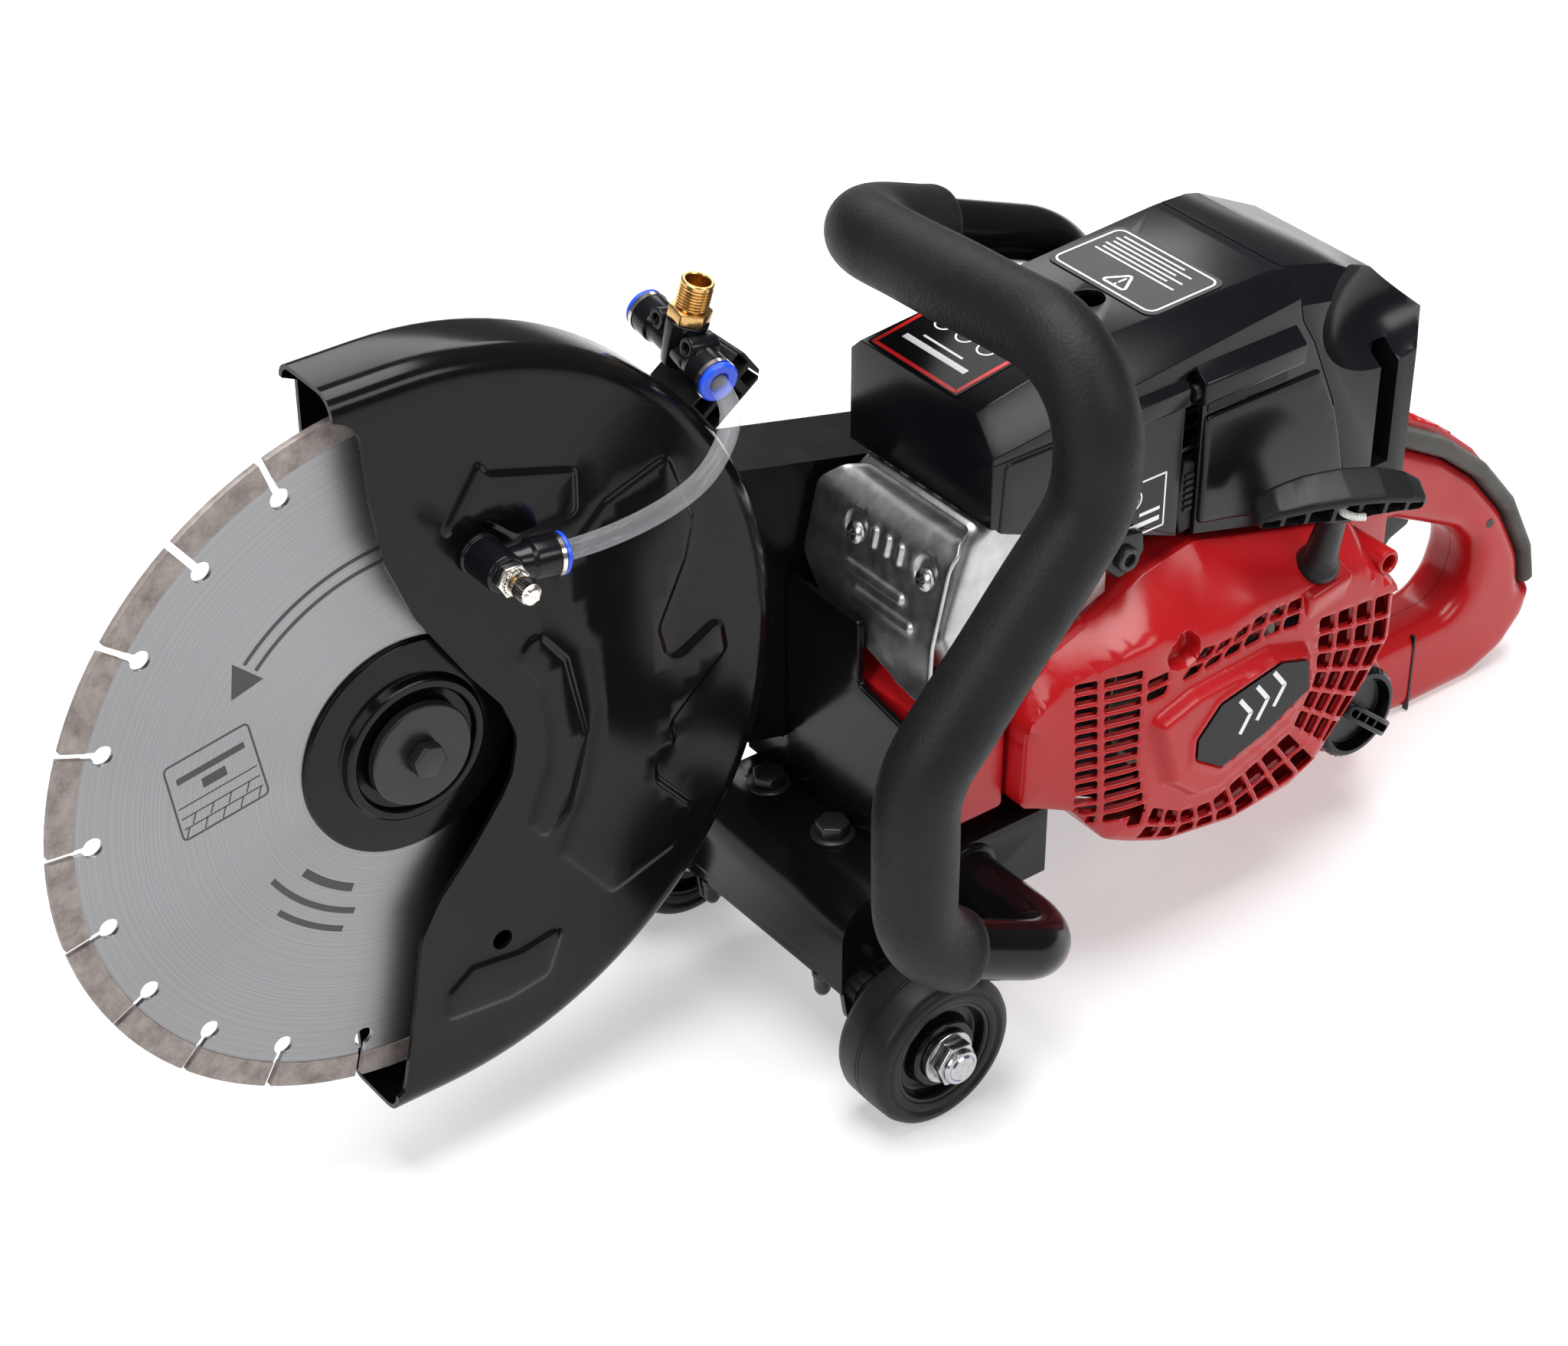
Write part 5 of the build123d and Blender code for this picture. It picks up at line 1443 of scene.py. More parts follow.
def make_recoil_grip():
    out = unit(np.cross(PULL, BAR_AXIS))
    if out[1] < 0:
        out = -out
    face = on_plane(GRIP_MID, BAR_AXIS, PULL, out)
    upper = [(-38, -5), (-36.5, -0.6), (-29, 4.6), (-16, 8.6), (0, 10.0), (16, 8.6), (29, 4.6), (36.5, -0.6),
             (38, -5)]
    lower = [(34, -7.6), (24, -5.0), (12, -4.6), (0, -7.5), (-12, -4.6), (-24, -5.0), (-34, -7.6)]
    outline = rounded(upper + lower, 4, step=1.8)
    pockets = []
    for u0, u1 in ((-35, -28), (-26, -18), (-16, -6.5), (-4.5, 4.5), (6.5, 16), (18, 26), (28, 35)):
        top0, top1 = 6.2 - u0 ** 2 / 150, 6.2 - u1 ** 2 / 150
        low0, low1 = [-3.2 - max(0, abs(u) - 22) * 0.18 for u in (u0, u1)]
        cell = [(u0, low0), (u1, low1), (u1, max(top1, low1 + 1.8)), (u0, max(top0, low0 + 1.8))]
        pockets.append(rounded(cell, 1.0, step=1.5))

    def half_depth(u):
        return 4.0 + 5.0 * np.sqrt(np.maximum(1 - (u / 40.0) ** 2, 0))

    def near_side(u, v):
        p = np.stack([u, v], 1)
        deep = np.zeros(len(p))
        for pocket in pockets:
            deep = np.maximum(deep, step_up(signed(p, pocket) + 0.1, 0.9))
        return half_depth(u) - deep * (half_depth(u) + 1.0)

    near = [(pocket, (-0.1, 0.25, 0.8)) for pocket in pockets]
    bar = slab("pull_handle", outline, lambda u, v: -half_depth(u), near_side, face, "starter_grip",
               "dull_plastic", edge=2.4, grid=4.0, near=near, both=True)
    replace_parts(bar, "recoil_grip")
    neck = [(0.4, 2.6), (0.4, 8.6), (1.6, 9.6), (5.0, 9.6), (8.0, 8.2), (12.0, 7.2), (36, 5.8), (44, 7.0),
            (44, 2.6)]
    stalk = lathe("pull_handle_neck", neck, ROPE_EXIT, PULL, "starter_grip", "dull_plastic", 48, soften=0.8,
                  closed=True)
    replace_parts(stalk, "recoil_grip")

    def knotted(p):
        swirl = 1 + 0.12 * math.sin(5 * math.atan2(p.y, p.x) + 4 * p.z)
        return GRIP_MID + BAR_AXIS * p.x * 3.2 * swirl + PULL * p.y * 2.8 * swirl + out * (p.z * 3.0 + 2.6)

    knot = as_object("rope_knot", ball(20, 12, knotted), "starter_grip", "rope")
    shade(knot.data)
    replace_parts(knot, "recoil_grip")
    way = [GRIP_MID + out * 2.0, GRIP_MID + out * 7.0 - BAR_AXIS * 2.0,
           GRIP_MID + out * 9.5 + BAR_AXIS * 3.0 - PULL * 1.0,
           GRIP_MID + out * 10.0 + BAR_AXIS * 8.0 - PULL * 1.6]
    end = tube("rope_end", bent(way, 2.5, 1.0), 1.7, "starter_grip", "rope", 16)
    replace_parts(end, "recoil_grip")


def make_rope():
    """The starter rope: a straight cord running out of the housing along the way the grip is pulled."""
    path = [ROPE_EXIT + PULL * t for t in np.linspace(-16, 40, 60)]
    rope = tube("starter_rope", path, lambda run: 1.9 + 0.1 * np.sin(run * 4), "chassis", "rope", 16)
    rope.parent = None
    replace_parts(rope, "recoil_rope")
    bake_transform(rope)


# ---------------------------------------------------------------- blade clamp and printed marks
def make_blade_clamp():
    disc = [(1.05, 10.5), (1.05, 46.0), (2.2, 46.0), (2.9, 45.2), (3.0, 31.5), (3.3, 30.8), (6.3, 30.2),
            (6.9, 29.3), (6.9, 26.8), (6.3, 26.2), (4.2, 25.6), (3.9, 23.0), (3.9, 4.2), (2.6, 4.1),
            (2.6, 10.5)]
    flange = lathe("clamp_disc", disc, (0, 0, 0), LEFT, "blade", "gloss_black", 128, soften=0.25, closed=True)
    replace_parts(flange, "flange_outer")
    washer = [(6.0, 4.0), (6.0, 20.6), (6.9, 21.5), (10.4, 21.5), (11.0, 20.9), (11.2, 4.0)]
    plate = lathe("bolt_washer", washer, (0, 0, 0), LEFT, "blade", "black_bolt", 96, soften=0.3, closed=True)
    head = prism(hexagon(13.0, 14), facing_y, 11.0, 16.8)
    head = bevelled(as_object("bolt_head", head, "blade", "black_bolt"), 0.7, 3)
    shank = lathe("bolt_shank", [(-20, 0), (-20, 3.6), (-19, 4.0), (11, 4.0), (11, 0)], (0, 0, 0), LEFT,
                  "blade", "black_bolt", 24)
    stand_for("blade_bolt", plate, head, shank)


PRINT_LOW, PRINT_HIGH = 0.95, 1.09


def blade_mark(name, outline):
    """A flat printed shape on the blade's near face."""
    as_object(name, prism(outline, facing_y, PRINT_LOW, PRINT_HIGH), "blade", "print_grey")


def ribbon(name, points, width, closed=False):
    """A printed line on the blade's near face."""
    band = strip_loop(points, width, 0.0, facing_y, name, "print_grey", PRINT_LOW, PRINT_HIGH, closed)
    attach(band, "blade")


def polar(r, degrees):
    return r * math.cos(math.radians(degrees)), r * math.sin(math.radians(degrees))


def arc_points(r, start, end):
    return [polar(r, a) for a in np.linspace(start, end, 40)]


def make_blade_marks():
    """Plain marks where a blade is usually printed: the way it turns, and what it cuts."""
    for k, (r, start, end) in enumerate(((84, 44, 92), (90, 44, 92))):
        ribbon(f"mark_turn_band_{k}", arc_points(r, start, end), 1.6)
    blade_mark("mark_turn_arrow", [polar(95, 43), polar(87, 35), polar(79, 43)])
    frame_points = [(96, -2), (101, 32), (66, 38), (60, 4)]
    ribbon("mark_frame", rounded(frame_points, 2), 0.8, closed=True)
    corners = np.array(frame_points, float)

    def inner(a, b):
        left = corners[3] + (corners[2] - corners[3]) * b
        right = corners[0] + (corners[1] - corners[0]) * b
        return tuple(left + (right - left) * a)

    blade_mark("mark_block", [inner(0.1, 0.72), inner(0.9, 0.72), inner(0.9, 0.80), inner(0.1, 0.80)])
    blade_mark("mark_cutter", [inner(0.36, 0.52), inner(0.64, 0.52), inner(0.64, 0.64), inner(0.36, 0.64)])
    for k, b in enumerate((0.14, 0.28, 0.42)):
        ribbon(f"mark_course_{k}", [inner(0.04, b), inner(0.96, b)], 0.5)
    for k in range(9):
        a = 0.08 + 0.105 * k
        ribbon(f"mark_joint_{k}",
               [inner(a + 0.04, 0.14 * (k % 2) + 0.02), inner(a - 0.02, 0.14 * (k % 2) + 0.14)], 0.5)
    for k, (r, start, end) in enumerate(((62, -62, -38), (72, -66, -30), (80, -64, -40))):
        ribbon(f"mark_low_arc_{k}", arc_points(r, start, end), 2.6 if k else 3.6)


# ---------------------------------------------------------------- muffler and its shield
SHIELD = [(-228, 34.5), (-219, 34), (-211, 27), (-203, -8), (-202, -33)]
SHIELD_N = unit((0.975, 0, 0.223))


def make_shield():
    line = rounded(SHIELD, [0, 6, 12, 20, 0], closed=False, step=1.5)
    run = lengths_along(line)
    ahead = np.gradient(line, axis=0)
    ahead /= np.linalg.norm(ahead, axis=1)[:, None]
    outward = np.stack([-ahead[:, 1], ahead[:, 0]], 1)
    outward *= np.sign(outward[len(outward) // 2, 0])
    length = run[-1]

    def bent_sheet(u, v, h):
        """u runs down the sheet, v across it."""
        px, pz = np.interp(u, run, line[:, 0]), np.interp(u, run, line[:, 1])
        nx, nz = np.interp(u, run, outward[:, 0]), np.interp(u, run, outward[:, 1])
        size = np.hypot(nx, nz)
        return np.stack([px + nx / size * h, v, pz + nz / size * h], 1)

    outline = rounded([(0, -8), (0, 54), (14, 63), (length, 63), (length, 44), (length - 11, -4),
                       (length - 30, -21), (18, -21)], 5, step=1.6)
    screws = [(27, 6), (27, 50)]
    ribs = [((22, 18), (32, 18)), ((22, 26), (32, 26)), ((22, 34), (32, 34)), ((44, 4), (44, 42)),
            ((53, 12), (53, 50))]
    rib_loops = []
    for (u0, v0), (u1, v1) in ribs:
        if v0 == v1:
            rib_loops.append(rounded(rectangle(u0, u1, v0 - 2.2, v0 + 2.2), 2.1, step=1.0))
        else:
            rib_loops.append(rounded([(u0 - 2.6, v0), (u0 + 2.6, v0), (u1 + 2.6, v1), (u1 - 2.6, v1)], 2.5,
                                     step=1.0))

    def outside(u, v):
        p = np.stack([u, v], 1)
        lift = np.zeros(len(p))
        for loop in rib_loops:
            lift += 1.3 * step_up(signed(p, loop) + 0.6, 2.0)
        for u0, v0 in screws:
            away = np.hypot(u - u0, v - v0)
            lift -= 1.6 * step_up(7.5 - away, 2.4)
        rim = distance(p, outline)
        lift += 0.5 * step_up(2.6 - rim, 2.2)
        flare = np.clip((u - (length - 12)) / 12, 0, 1) ** 2 * np.clip((v - 36) / 22, 0, 1)
        return lift + 3.2 * flare

    near = [(loop, (-0.6, 0.0, 0.7, 1.4)) for loop in rib_loops]
    near += [(circle(u0, v0, r, 28), (0.0,)) for u0, v0 in screws for r in (4.6, 5.6, 6.6, 7.6)]
    near.append((outline, (0.8, 1.6, 2.6)))
    sheet = slab("heat_shield", outline, lambda u, v: outside(u, v) - 1.5, outside, bent_sheet, "chassis",
                 "muffler_steel", grid=2.6, near=near, both=False, edge=0.5)
    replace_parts(sheet, "muffler_shield")
    for k, y in enumerate((6.0, 50.0)):
        place = np.array((-208.4, y, 16.0)) - SHIELD_N * 1.2
        cap = [(0.0, 0.0), (0.0, 5.0), (1.2, 4.8), (2.4, 3.6), (3.0, 1.8), (3.1, 0.0)]
        head = lathe(f"shield_screw_{k}", cap, place, SHIELD_N, "chassis", "zinc", 40)
        cross_side, cross_up = np.array((0, 1.0, 0)), unit(np.cross(SHIELD_N, LEFT))
        cuts = [prism(rectangle(-2.6, 2.6, -0.55, 0.55),
                      on_plane(place, a, b, SHIELD_N), 1.5, 4)
                for a, b in ((cross_side, cross_up), (cross_up, -cross_side))]
        carve(head, cuts)
        shade(head.data)
        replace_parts(head, "fasteners")


MUFFLER_SEAM_Y = 16.0
MUFFLER = [(-302, -38), (-302, 39), (-246, 39), (-228, 30.5), (-214, -14), (-222, -38)]


def make_muffler():
    body = prism(MUFFLER, facing_y, -21, 55)
    body = bevelled(as_object("muffler_box", body, "chassis", "muffler_steel"), 7, 5)
    slope = unit((18, 0, -8.5))
    normal = unit((8.5, 0, 18))
    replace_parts(body, "muffler")
    seam_line = [(-300, -36), (-300, 37), (-247, 37), (-230, 29), (-217, -14), (-224, -36)]
    seam_edge = rounded(seam_line, 6, step=2)
    seam_path = [(x, MUFFLER_SEAM_Y, z) for x, z in np.concatenate([seam_edge, seam_edge[:1]])]
    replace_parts(tube("muffler_seam", seam_path, 1.1, "chassis", "muffler_steel", 8), "muffler")
    start = np.array((-243.0, 0, 38.0))
    for k in range(6):
        y = -16 + k * 10.5
        lip = [(0.0, 2.2), (0.0, 3.6), (1.3, 3.2), (1.6, 2.6), (1.3, 2.2)]
        ring = lathe(f"muffler_port_{k}", lip, start + slope * 7 + np.array((0, y, 0)) - normal * 0.9, normal,
                     "chassis", "muffler_steel", 28, closed=True)
        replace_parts(ring, "muffler")
        # A flat black disc in each port ring: painted shade standing for the dark inside of the port.
        painted_port_shade = lathe(f"muffler_port_painted_shade_{k}", rectangle(0, 0.25, 0, 2.3),
                     start + slope * 7 + np.array((0, y, 0)), normal, "chassis", "black_bolt", 20,
                     closed=True)
        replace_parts(painted_port_shade, "muffler")
    plate = rounded([(-300, -36), (-300, 3), (-252, 10), (-236, -6), (-232, -36)], 4, step=2)
    near_plate = slab("muffler_side_plate", plate, 54.6, 57.4, facing_y, "chassis", "muffler_steel",
                      edge=0.7, grid=6)
    cut = prism([(-330, -10), (-262, -36), (-240, -60), (-330, -60)], facing_y, 43, 70)
    carve(near_plate, [cut])
    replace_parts(near_plate, "muffler")
    lug = rounded([(-281, 14), (-311, 8), (-312, -3), (-299, -12), (-286, 1)], 4, step=1.5)
    bracket = slab("cover_bracket", lug, 62.0, 66.5, facing_y, "chassis", "black_plastic", edge=1.2, grid=5)
    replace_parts(bracket, "engine_shroud")
    socket = [(0, 0), (0, 5.6), (3.2, 5.6), (3.8, 5.0), (3.8, 2.9), (1.2, 2.7), (1.2, 0)]
    screw = lathe("cover_bracket_screw", socket, (-301.5, 65.5, -1.5), LEFT, "chassis", "black_bolt", 32,
                  soften=0.25)
    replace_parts(screw, "engine_shroud")


# ---------------------------------------------------------------- front handle
TUBE = [(-228, 20, -134), (-228, 122, -134), (-150, 120, -96), (-149, 120, -16), (-233, 120, 78),
        (-232, 120, 139), (-238, -44, 126), (-352, -47, 82), (-388, -47, 40), (-388, -47, 0)]
TUBE_BENDS = [24, 38, 42, 40, 36, 34, 60, 24]
TUBE_R, TUBE_BORE, GRIP_R = 12.5, 10.5, 17.0


def toward(a, b, d):
    a, b = np.array(a, float), np.array(b, float)
    return a + unit(b - a) * d


def make_front_handle():
    pipe = tube("handle_pipe", bent(TUBE, TUBE_BENDS, 3.0), TUBE_R, "chassis", "gloss_black", 40,
                bore=TUBE_BORE)
    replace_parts(pipe, "front_handle_tube")
    route = [toward(TUBE[2], TUBE[1], 27)] + TUBE[2:7] + [toward(TUBE[6], TUBE[7], 56)]
    path = bent(route, TUBE_BENDS[1:6], 2.0)
    total = lengths_along(path)[-1]

    def thickness(run):
        near_end = np.minimum(run, total - run)
        lip = np.sqrt(np.maximum(1 - (1 - np.clip(near_end / 3.0, 0, 1)) ** 2, 0))
        return GRIP_R - 3.0 * (1 - lip) + 0.12 * np.sin(run * 0.11) + 0.35 * np.exp(-((near_end - 5)
                                                                                      / 3) ** 2)

    fine = np.concatenate([path[:1], path[:1] + (path[1] - path[0]) * 0.3, path[1:-1],
                           path[-1:] - (path[-1] - path[-2]) * 0.3, path[-1:]])
    sleeve = tube("handle_foam", fine, thickness, "chassis", "foam_grip", 48, bore=TUBE_R + 0.05)
    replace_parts(sleeve, "front_handle_grip")


# ---------------------------------------------------------------- rear handle
LOOP = [(-412.3, -41), (-430, -37), (-500, -42), (-524, -56), (-549, -70), (-574, -90), (-596, -116),
        (-612, -145), (-616, -166), (-626, -168), (-622, -184), (-608, -199), (-586, -208), (-540, -208),
        (-500, -203), (-500, -164), (-566, -163), (-576, -154), (-580, -140), (-578, -128), (-566, -116),
        (-520, -93), (-500, -90), (-500, -94.7), (-441, -94.7), (-427, -116), (-412.3, -116)]
LOOP_ROUND = [0.5, 6, 20, 26, 30, 40, 40, 40, 3, 6, 14, 18, 24, 40, 3, 3, 16, 16, 20, 20, 26, 16, 2, 0.5, 6,
              6, 0.5]
WELL = [(-500, -30), (-508, -58), (-558, -80), (-597, -130), (-612, -104), (-560, -50)]
STRIP = [(-506, -45.5), (-524, -56), (-549, -70), (-574, -90), (-596, -116), (-612, -145), (-616, -166),
         (-624, -164), (-619, -142), (-602, -110), (-579, -83), (-553, -62), (-528, -48), (-508, -38)]


def make_rear_handle():
    loop = rounded(LOOP, LOOP_ROUND, step=3)
    cuts_at = [block((-548, -6.4, -112), (-502, 6.4, -76)), prism(WELL, facing_y, -5.4, 5.4)]
    for name, place, node in (("handle_shell_left", facing_y, "handle_left"),
                              ("handle_shell_right", facing_minus_y,
                                                                              "handle_right")):
        def side_height(u, v):
            waist = np.exp(-((u + 560) / 34) ** 2) * np.exp(-((v + 84) / 34) ** 2)
            return 18.0 - 1.2 * waist

        half = slab(name, loop, 0.15, side_height, place, "chassis", "red_plastic", edge=8.5, grid=6,
                    angle=math.radians(40))
        carve(half, [shape.copy() for shape in cuts_at])
        shade(half.data, True, math.radians(40))
        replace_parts(half, node)
    body = block((-500, -30, -94.4), (-412.5, 30, -44))
    cut = block((-440, -31, -96), (-412, -23.4, -40))
    housing = as_object("handle_root", body, "chassis", "red_plastic")
    carve(housing, [cut, prism([(-500, -30), (-508, -58), (-490, -58), (-490, -30)], facing_y, -5.4, 5.4),
                    block((-548, -6.4, -112), (-490, 6.4, -76))])
    bevelled(housing, 3.0, 3)
    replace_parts(housing, "handle_left")
    for k, side in enumerate((1, -1)):
        place = facing_y if side > 0 else facing_minus_y
        strip = rounded(STRIP, 3, step=2)
        band = slab(f"handle_strip_{k}", strip, 5.5, 19.2, place, "chassis", "soft_strip",
                    edge=5.0, grid=3)
        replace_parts(band, "handle_softgrip")
        # A flat dark hexagon at each handle screw: the black screw's colour, with painted shade for its
        # socket recess.
        socket_shade = lathe(f"handle_hex_socket_shade_{k}", rectangle(0, 0.3, 0, 2.6), (-585, side * 17.6, -118), (0, side, 0),
                        "chassis", "black_bolt", 6, closed=True)
        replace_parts(socket_shade, "handle_left")
        seam = block((-541.8, side * 17.2 - 1.4, -207), (-540.6, side * 17.2 + 1.4, -164.5))
        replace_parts(as_object(f"handle_seam_{k}", seam, "chassis", "black_bolt"), "handle_right")


TRIGGER = [(-506, -80), (-516, -80), (-545, -100), (-541, -108), (-530, -112), (-522, -122), (-512, -112),
           (-506, -92)]
LOCK = [(-508, -36), (-528, -44), (-556, -60), (-582, -82), (-598, -101), (-594, -106), (-556, -72),
        (-520, -57), (-511, -55)]


def both_sides(name, outline, half, body, material, edge, node, r=2.0, hole=None):
    """A flat lever with rounded rims on both faces."""
    loop = rounded(outline, r, step=1.6)
    holes = [hole[::-1]] if hole is not None else []
    piece = slab(name, loop, -half, half, facing_y, body,
                 material, holes=holes, edge=edge, grid=5, both=True)
    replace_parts(piece, node)
    return piece


def make_controls():
    both_sides("throttle_lever", TRIGGER, 6.0, "throttle", "black_plastic", 2.2, "throttle_trigger", 3.0,
               circle(-511, -84, 2.1, 20))
    both_sides("lockout_lever", LOCK, 5.0, "lockout", "red_plastic", 1.8, "throttle_lock", 2.5,
               circle(-516, -53, 2.1, 20))
    for k in range(5):
        u, v = -540 - k * 6.0, -50.5 - k * 4.2
        rib = tube(f"lockout_rib_{k}", [(u, -4.2, v), (u, 4.2, v)], 0.9, "lockout", "red_plastic", 10)
        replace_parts(rib, "throttle_lock")
    knob = [(-38.3, 0), (-38.3, 7.0), (-43.2, 7.0), (-44.0, 6.2), (-44.0, 0)]
    choke = lathe("choke_button", [(-t, r) for t, r in knob], (-444, 0, -66), RIGHT, "choke", "black_plastic",
                  72, soften=0.4, wave=knurl(0.03, 18, 6.5))
    stem = lathe("choke_stem", [(18, 0), (18, 3.0), (38.5, 3.0), (38.5, 0)], (-444, 0, -66), RIGHT, "choke",
                 "zinc", 24)
    stand_for("choke_knob", choke, stem)
    rocker = rectangle(-478, -462, -66, -58)
    lever = slab("stop_lever", rounded(rocker, 2.5, step=1.2), 30.4, 36.0, facing_minus_y, "stop_switch",
                 "red_plastic", edge=1.4, grid=3)
    pivot = lathe("stop_pivot", [(26, 0), (26, 3.0), (30.6, 3.0), (30.6, 0)], (-470, 0, -62), RIGHT,
                  "stop_switch", "black_bolt", 24)
    stand_for("stop_switch", lever, pivot)
    bulb = [(0, 0), (0, 4.6), (1.0, 5.4), (9.0, 5.2), (11.2, 4.2), (12.4, 2.4), (12.8, 0)]
    press = lathe("decompression_button", bulb, (-314, 22, 67.8), UP, "decompression", "dull_plastic", 48,
                  soften=0.3)
    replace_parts(press, "decomp_valve")


# ---------------------------------------------------------------- fuel tank and cap
TANK = [(-412.3, -121), (-412.3, -190), (-424, -203), (-500, -203), (-500, -95), (-442, -95), (-428.5, -118)]
CAP_X, CAP_Z = -461.0, -152.0


def make_tank():
    shape = prism(rounded(TANK, [2, 14, 12, 3, 2, 4, 3], step=3), facing_y, -38, 43)
    slice_off(shape, Vector((-450, 43, -177)), Vector(unit((0, 0.65, -0.76))))
    slice_off(shape, Vector((-487.5, 43, -150)), Vector(unit((-0.7, 0.71, 0))))
    tank = as_object("tank_shell", shape, "chassis", "red_plastic")
    carve(tank, [round_bar((CAP_X, 20, CAP_Z), LEFT, 30, 16, 64)])
    bevelled(tank, 4.0, 4, 40)
    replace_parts(tank, "fuel_tank")
    neck = [(40, 16.1), (40, 27.0), (42.6, 26.6), (45.5, 25.0), (49.2, 24.6), (50.0, 23.8), (50.0, 16.1)]
    ring = lathe("tank_neck", neck, (CAP_X, 0, CAP_Z), LEFT, "chassis", "red_plastic", 96, soften=0.5,
                 closed=True)
    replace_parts(ring, "fuel_tank")
    cap = [(30, 0), (30, 15.0), (31, 15.9), (50.3, 15.9), (50.3, 21.4), (51.2, 22.4), (58.0, 22.4),
           (59.8, 20.8), (60.0, 18.6), (57.0, 17.6), (54.4, 17.0), (54.2, 3.0), (54.2, 0)]
    lid = lathe("tank_cap", cap, (CAP_X, 0, CAP_Z), LEFT, "fuel_cap", "black_plastic", 144, soften=0.4,
                wave=knurl(0.012, 36, 22, 58.5))
    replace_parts(lid, "fuel_cap")
    tilt = math.radians(40)
    along_bar, across = np.array((math.cos(tilt), 0, math.sin(tilt))), np.array((-math.sin(tilt), 0,
                                                                                 math.cos(tilt)))
    bar_place = on_plane((CAP_X, 0, CAP_Z), along_bar, across, LEFT)
    outline = rounded(rectangle(-18.5, 18.5, -3.9, 3.9), 3, step=1.2)
    slot_loop = rounded(rectangle(-15, 15, -1.6, 1.6), 1.2, step=1.2)[::-1]

    def crown(u, v):
        return 67.4 - 3.2 * (u / 18.5) ** 4

    grip = slab("tank_cap_handle", outline, 53.6, crown, bar_place, "fuel_cap", "black_plastic",
                holes=[slot_loop], edge=0.9, grid=3)
    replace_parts(grip, "fuel_cap")
    for k, u in enumerate((-7.5, 0.0, 7.5)):
        shape = prism(rectangle(u - 0.7, u + 0.7, -2, 2), bar_place, 53.8, 64.5)
        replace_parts(as_object(f"tank_cap_web_{k}", shape, "fuel_cap", "black_plastic"), "fuel_cap")


# ---------------------------------------------------------------- guide wheels and base
AXLE_X, AXLE_Z = -178.0, -173.0


def make_wheel(side_name, y, side):
    centre = (AXLE_X, y, AXLE_Z)
    body = f"{side_name}_wheel"
    half = [(0.0, 35.0), (0.5, 35.0), (0.8, 34.6), (1.1, 35.0), (11.0, 34.7), (13.4, 33.6), (14.8, 31.4),
            (15.0, 29.6), (14.4, 28.8), (13.9, 28.2), (14.3, 27.4), (14.3, 25.2), (13.6, 24.1)]
    profile = half + [(-t, r) for t, r in reversed(half[1:])]
    tyre = lathe(f"tyre_{side_name}_rubber", profile, centre, LEFT, body, "tyre", 160, closed=True)
    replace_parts(tyre, f"tyre_{side_name}")
    face = [(13.4, 24.05), (13.2, 22.4), (11.6, 21.6), (8.2, 20.8), (7.6, 19.8), (7.6, 16.8), (8.4, 16.0),
            (13.2, 15.6), (14.2, 14.8), (14.2, 11.05)]
    hub_profile = face + [(-t, r) for t, r in reversed(face)]
    hub = lathe(f"hub_{side_name}", hub_profile, centre, LEFT, body, "black_plastic", 128, soften=0.4,
                closed=True)
    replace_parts(hub, f"wheel_hub_{side_name}")
    race = [(14.9, 6.1), (14.9, 8.0), (14.3, 8.2), (14.3, 9.2), (14.9, 9.4), (14.9, 11.0), (-14.9, 11.0),
            (-14.9, 6.1)]
    bearing = lathe(f"hub_{side_name}_bearing", race, centre, LEFT, body, "zinc", 64, closed=True)
    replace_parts(bearing, f"wheel_hub_{side_name}")
    start = np.array((AXLE_X, y + side * 15.3, AXLE_Z))
    way = (0, side, 0)
    washer = lathe(f"axle_washer_{side_name}",
                   [(0, 6.1), (0, 11.8), (0.2, 12.0), (1.4, 12.0), (1.6, 11.8), (1.6, 6.1)], start, way,
                   "chassis", "zinc", 64, closed=True)
    nut = prism(hexagon(18, 8), on_plane(start, FORWARD, UP, way), 1.6, 7.4)
    nut = as_object(f"axle_nut_{side_name}", nut, "chassis", "zinc")
    carve(nut, [round_bar(start, way, 12, 6.0)])
    bevelled(nut, 0.9, 3)
    crown = lathe(f"axle_nut_crown_{side_name}",
                  [(7.2, 6.1), (7.2, 8.2), (8.6, 8.2), (9.9, 7.6), (10.2, 6.9), (10.0, 6.1)], start, way,
                  "chassis", "zinc", 64, soften=0.3, closed=True)
    insert = lathe(f"axle_nut_insert_{side_name}", [(8.6, 5.8), (8.6, 6.9), (9.9, 6.8), (9.9, 5.8)], start,
                   way, "chassis", "blue_plastic", 48, closed=True)
    reach = abs(start[1] - (60 if side > 0 else -45))
    spacer = lathe(f"axle_spacer_{side_name}", [(-reach, 6.1), (-reach, 9.0), (-30.4, 9.0), (-30.4, 6.1)],
                   start, way, "chassis", "zinc", 48, soften=0.4, closed=True)
    stand_for("axle_hardware", washer, nut, crown, insert, spacer)


def make_axle():
    low, high = -79.0 - 26, 94.0 + 26
    profile = [(low, 0), (low, 5.2), (low + 0.8, 6.0), (high - 0.8, 6.0), (high, 5.2), (high, 0)]
    axle = lathe("axle_bar", profile, (AXLE_X, 0, AXLE_Z), LEFT, "chassis", "zinc", 40)
    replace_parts(axle, "axle")


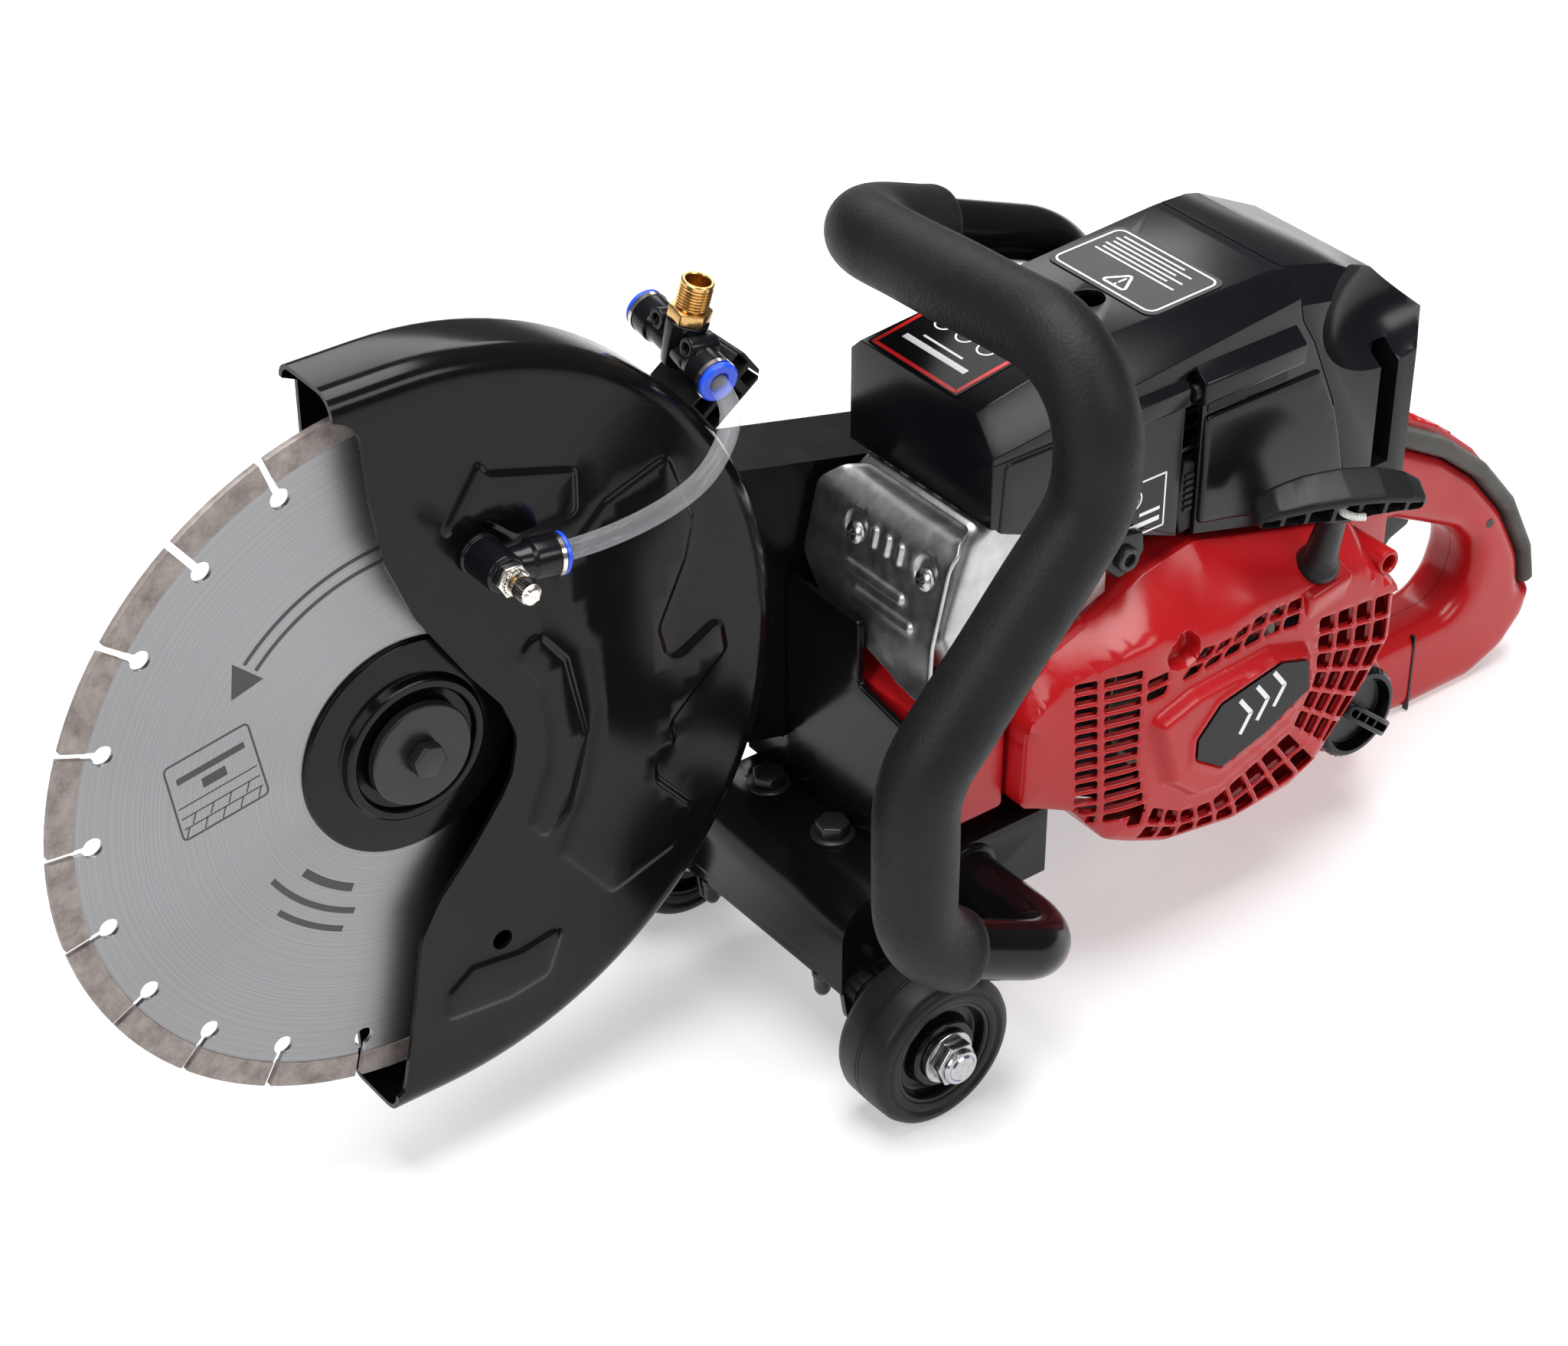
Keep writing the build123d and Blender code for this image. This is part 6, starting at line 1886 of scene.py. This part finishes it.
def make_base():
    profile = rounded(rectangle(-272, -162, -118, -166), [0, 24, 0, 0], step=2.5)
    inner = rounded(rectangle(-275, -165, -121, -170), [0, 21, 0, 0], step=2.5)
    channel = as_object("base_shell", prism(profile, facing_y, -45, 60), "chassis", "gloss_black")
    cutters = [prism(inner, facing_y, -42, 57), block((-280, -50, -170), (-222, 65, -152))]
    cutters.append(round_bar((-228, 50, -134), LEFT, 15, TUBE_R))
    cutters += [round_bar((-188, y, -125), UP, 12, 4) for y in (-24, 20)]
    carve(channel, cutters)
    lug = rounded([(-196, -160), (-192, -184), (-166, -184), (-162, -160)], [0, 7, 7, 0], step=1.5)
    lugs = [prism(lug, facing_y, -45, -42), prism(lug, facing_y, 57, 60)]
    carve(channel, lugs, joined=True)
    carve(channel, [round_bar((AXLE_X, -60, AXLE_Z), LEFT, 130, 6.02)])
    bevelled(channel, 1.0, 3)
    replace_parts(channel, "base_channel")
    collar = [(-0.2, 12.6), (-0.2, 15.5), (1.4, 15.2), (2.4, 13.4), (2.6, 12.6)]
    weld = lathe("base_tube_weld", collar, (-228, 60, -134), LEFT, "chassis", "gloss_black", 48, soften=0.4,
                 closed=True)
    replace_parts(weld, "base_channel")
    for k, y in enumerate((-24.0, 20.0)):
        spot = np.array((-188.0, y, -118.0))
        washer = lathe(f"base_washer_{k}", [(0, 4.1), (0, 9.5), (1.2, 9.5), (1.4, 9.2), (1.4, 4.1)], spot, UP,
                       "chassis", "black_bolt", 40, closed=True)
        head = prism(hexagon(13, 20 * k), on_plane(spot, FORWARD, LEFT, UP), 1.3, 6.8)
        head = bevelled(as_object(f"base_bolt_{k}", head, "chassis", "black_bolt"), 0.7)
        shank = lathe(f"base_bolt_shank_{k}", [(-16, 0), (-16, 3.4), (-15.4, 3.95), (1.4, 3.95), (1.4, 0)],
                      spot, UP, "chassis", "black_bolt", 24)
        stud_at = np.array((-166.0, (-36.0, 42.0)[k], -166.0))
        stud = [(0.5, 0), (0.5, 4.6), (-2, 4.6), (-3, 4.0), (-9.5, 3.6), (-11.6, 2.6), (-12, 0)]
        foot = lathe(f"base_stud_{k}", stud, stud_at, UP, "chassis", "black_bolt", 28, soften=0.3)
        for piece in (washer, head, shank, foot):
            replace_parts(piece, "base_hardware")
    plate = rounded([(-51, -118), (38, -118), (57, -66), (57, -50), (24, -44), (24, -14), (-23.6, -14),
                     (-23.6, -98.5), (-51, -98.5)], [1, 1, 5, 4, 3, 2, 2, 4, 3], step=2)
    sheet = slab("stand_plate", plate, -199.9, -197.0, lambda u, v, h: np.stack([h, u, v], 1), "chassis",
                 "gloss_black", edge=0.8, grid=12)
    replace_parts(sheet, "mount_plate")


# ---------------------------------------------------------------- belt arm
ARM = [(0, 48), (-165, 45), (-260, 22.5), (-352, 0), (-405, -12), (-430, -50), (-426, -100), (-392, -132),
       (-350, -134), (0, -48)]


ARM_DOME_R, ARM_DOME_FROM = 48, 50
ARM_INSIDE = np.array((-200, -20))


def make_arm_details():
    """The belt arm's far cover: its pressed panel, the plate behind it, its louvres and its screws."""
    cover = rounded([(-8, 37), (-160, 35), (-258, 13), (-350, -9), (-398, -20), (-418, -52), (-414, -96),
                     (-386, -121), (-350, -122), (-10, -37)], 14, step=4)
    pressed = slab("arm_cover_panel", cover, 61.9, 63.6, facing_minus_y, "chassis", "satin_black",
                   edge=1.5, grid=16)
    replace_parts(pressed, "arm_cover")
    base = rounded(ARM, [0, 30, 30, 30, 16, 16, 16, 16, 40, 0], step=4)
    front = np.array([(ARM_DOME_R * math.cos(a), ARM_DOME_R * math.sin(a))
                      for a in np.linspace(-math.pi / 2, math.pi / 2, 30)])
    outline = np.concatenate([base[np.hypot(base[:, 0], base[:, 1]) > ARM_DOME_FROM], front])
    # The two runs of points become one loop when they are sorted round a point inside them.
    across, above = (outline - ARM_INSIDE).T
    outline = outline[np.argsort(-np.arctan2(above, across) % (2 * math.pi))]
    back = slab("arm_cover_plate", outline, 59.05, 61.95, facing_minus_y, "chassis", "satin_black", edge=0.9,
                grid=24)
    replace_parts(back, "arm_cover")
    for k in range(7):
        x = -60 - k * 13
        louvre = tube(f"arm_louvre_{k}", [(x, -63.4, 14 - k * 1.2), (x + 4, -63.4, -14 - k * 1.2)], 2.0,
                      "chassis", "satin_black", 14)
        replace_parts(louvre, "arm_cover")
    for k, (x, z) in enumerate(((-60, 41), (-150, 38), (-240, 14), (-395, -26), (-405, -100), (-250, -98),
                                (-120, -72))):
        socket = [(0, 0), (0, 4.2), (2.0, 4.2), (2.5, 3.7), (2.5, 2.0), (0.9, 1.8), (0.9, 0)]
        screw = lathe(f"arm_screw_{k}", socket, (x, -62.0, z), RIGHT, "chassis", "zinc", 32, soften=0.2)
        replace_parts(screw, "fasteners")


# ---------------------------------------------------------------- CAD parts that are kept
def dress(material, *names, width=0.5, angle=30):
    """Gives CAD parts a material, and rounds their edges."""
    for name in names:
        node = nodes[name]
        node.data.materials.clear()
        node.data.materials.append(MATERIALS[material])
        weld = node.modifiers.new("weld", "WELD")
        weld.merge_threshold = 0.00001
        edges = node.modifiers.new("edges", "BEVEL")
        edges.width = width * MM
        edges.segments = 2
        edges.limit_method = "ANGLE"
        edges.angle_limit = math.radians(angle)
        edges.use_clamp_overlap = True
        edges.harden_normals = True


def dress_kept_parts():
    dress("satin_black", "arm_housing", width=0.8)
    dress("satin_black", "handle_brackets", width=0.8)
    dress("zinc", "clutch_drum", "fasteners", "spindle", "crankshaft", "main_bearings", width=0.4)
    dress("foam", "air_intake", width=1.0)
    dress("red_plastic", "crankcase", width=2.0)
    dress("blade_steel", "blade_core", width=0.15)
    dress("diamond", "blade_segments", width=0.2)
    dress("cast_aluminium", "cylinder", "blade_pulley", width=0.4)
    dress("flywheel_cast", "flywheel", width=0.4)
    dress("belt", "drive_belt", width=0.3)
    dress("white_boot", "spark_plug", width=0.6)


make_guard()
make_water_kit()
make_lever()
make_shroud()
make_filter_cover()
make_labels()
make_starter_cover()
make_recoil_grip()
make_rope()
make_blade_clamp()
make_blade_marks()
make_shield()
make_muffler()
make_front_handle()
make_rear_handle()
make_controls()
make_tank()
make_wheel("left", 94.0, 1)
make_wheel("right", -79.0, -1)
make_axle()
make_base()
make_arm_details()
dress_kept_parts()
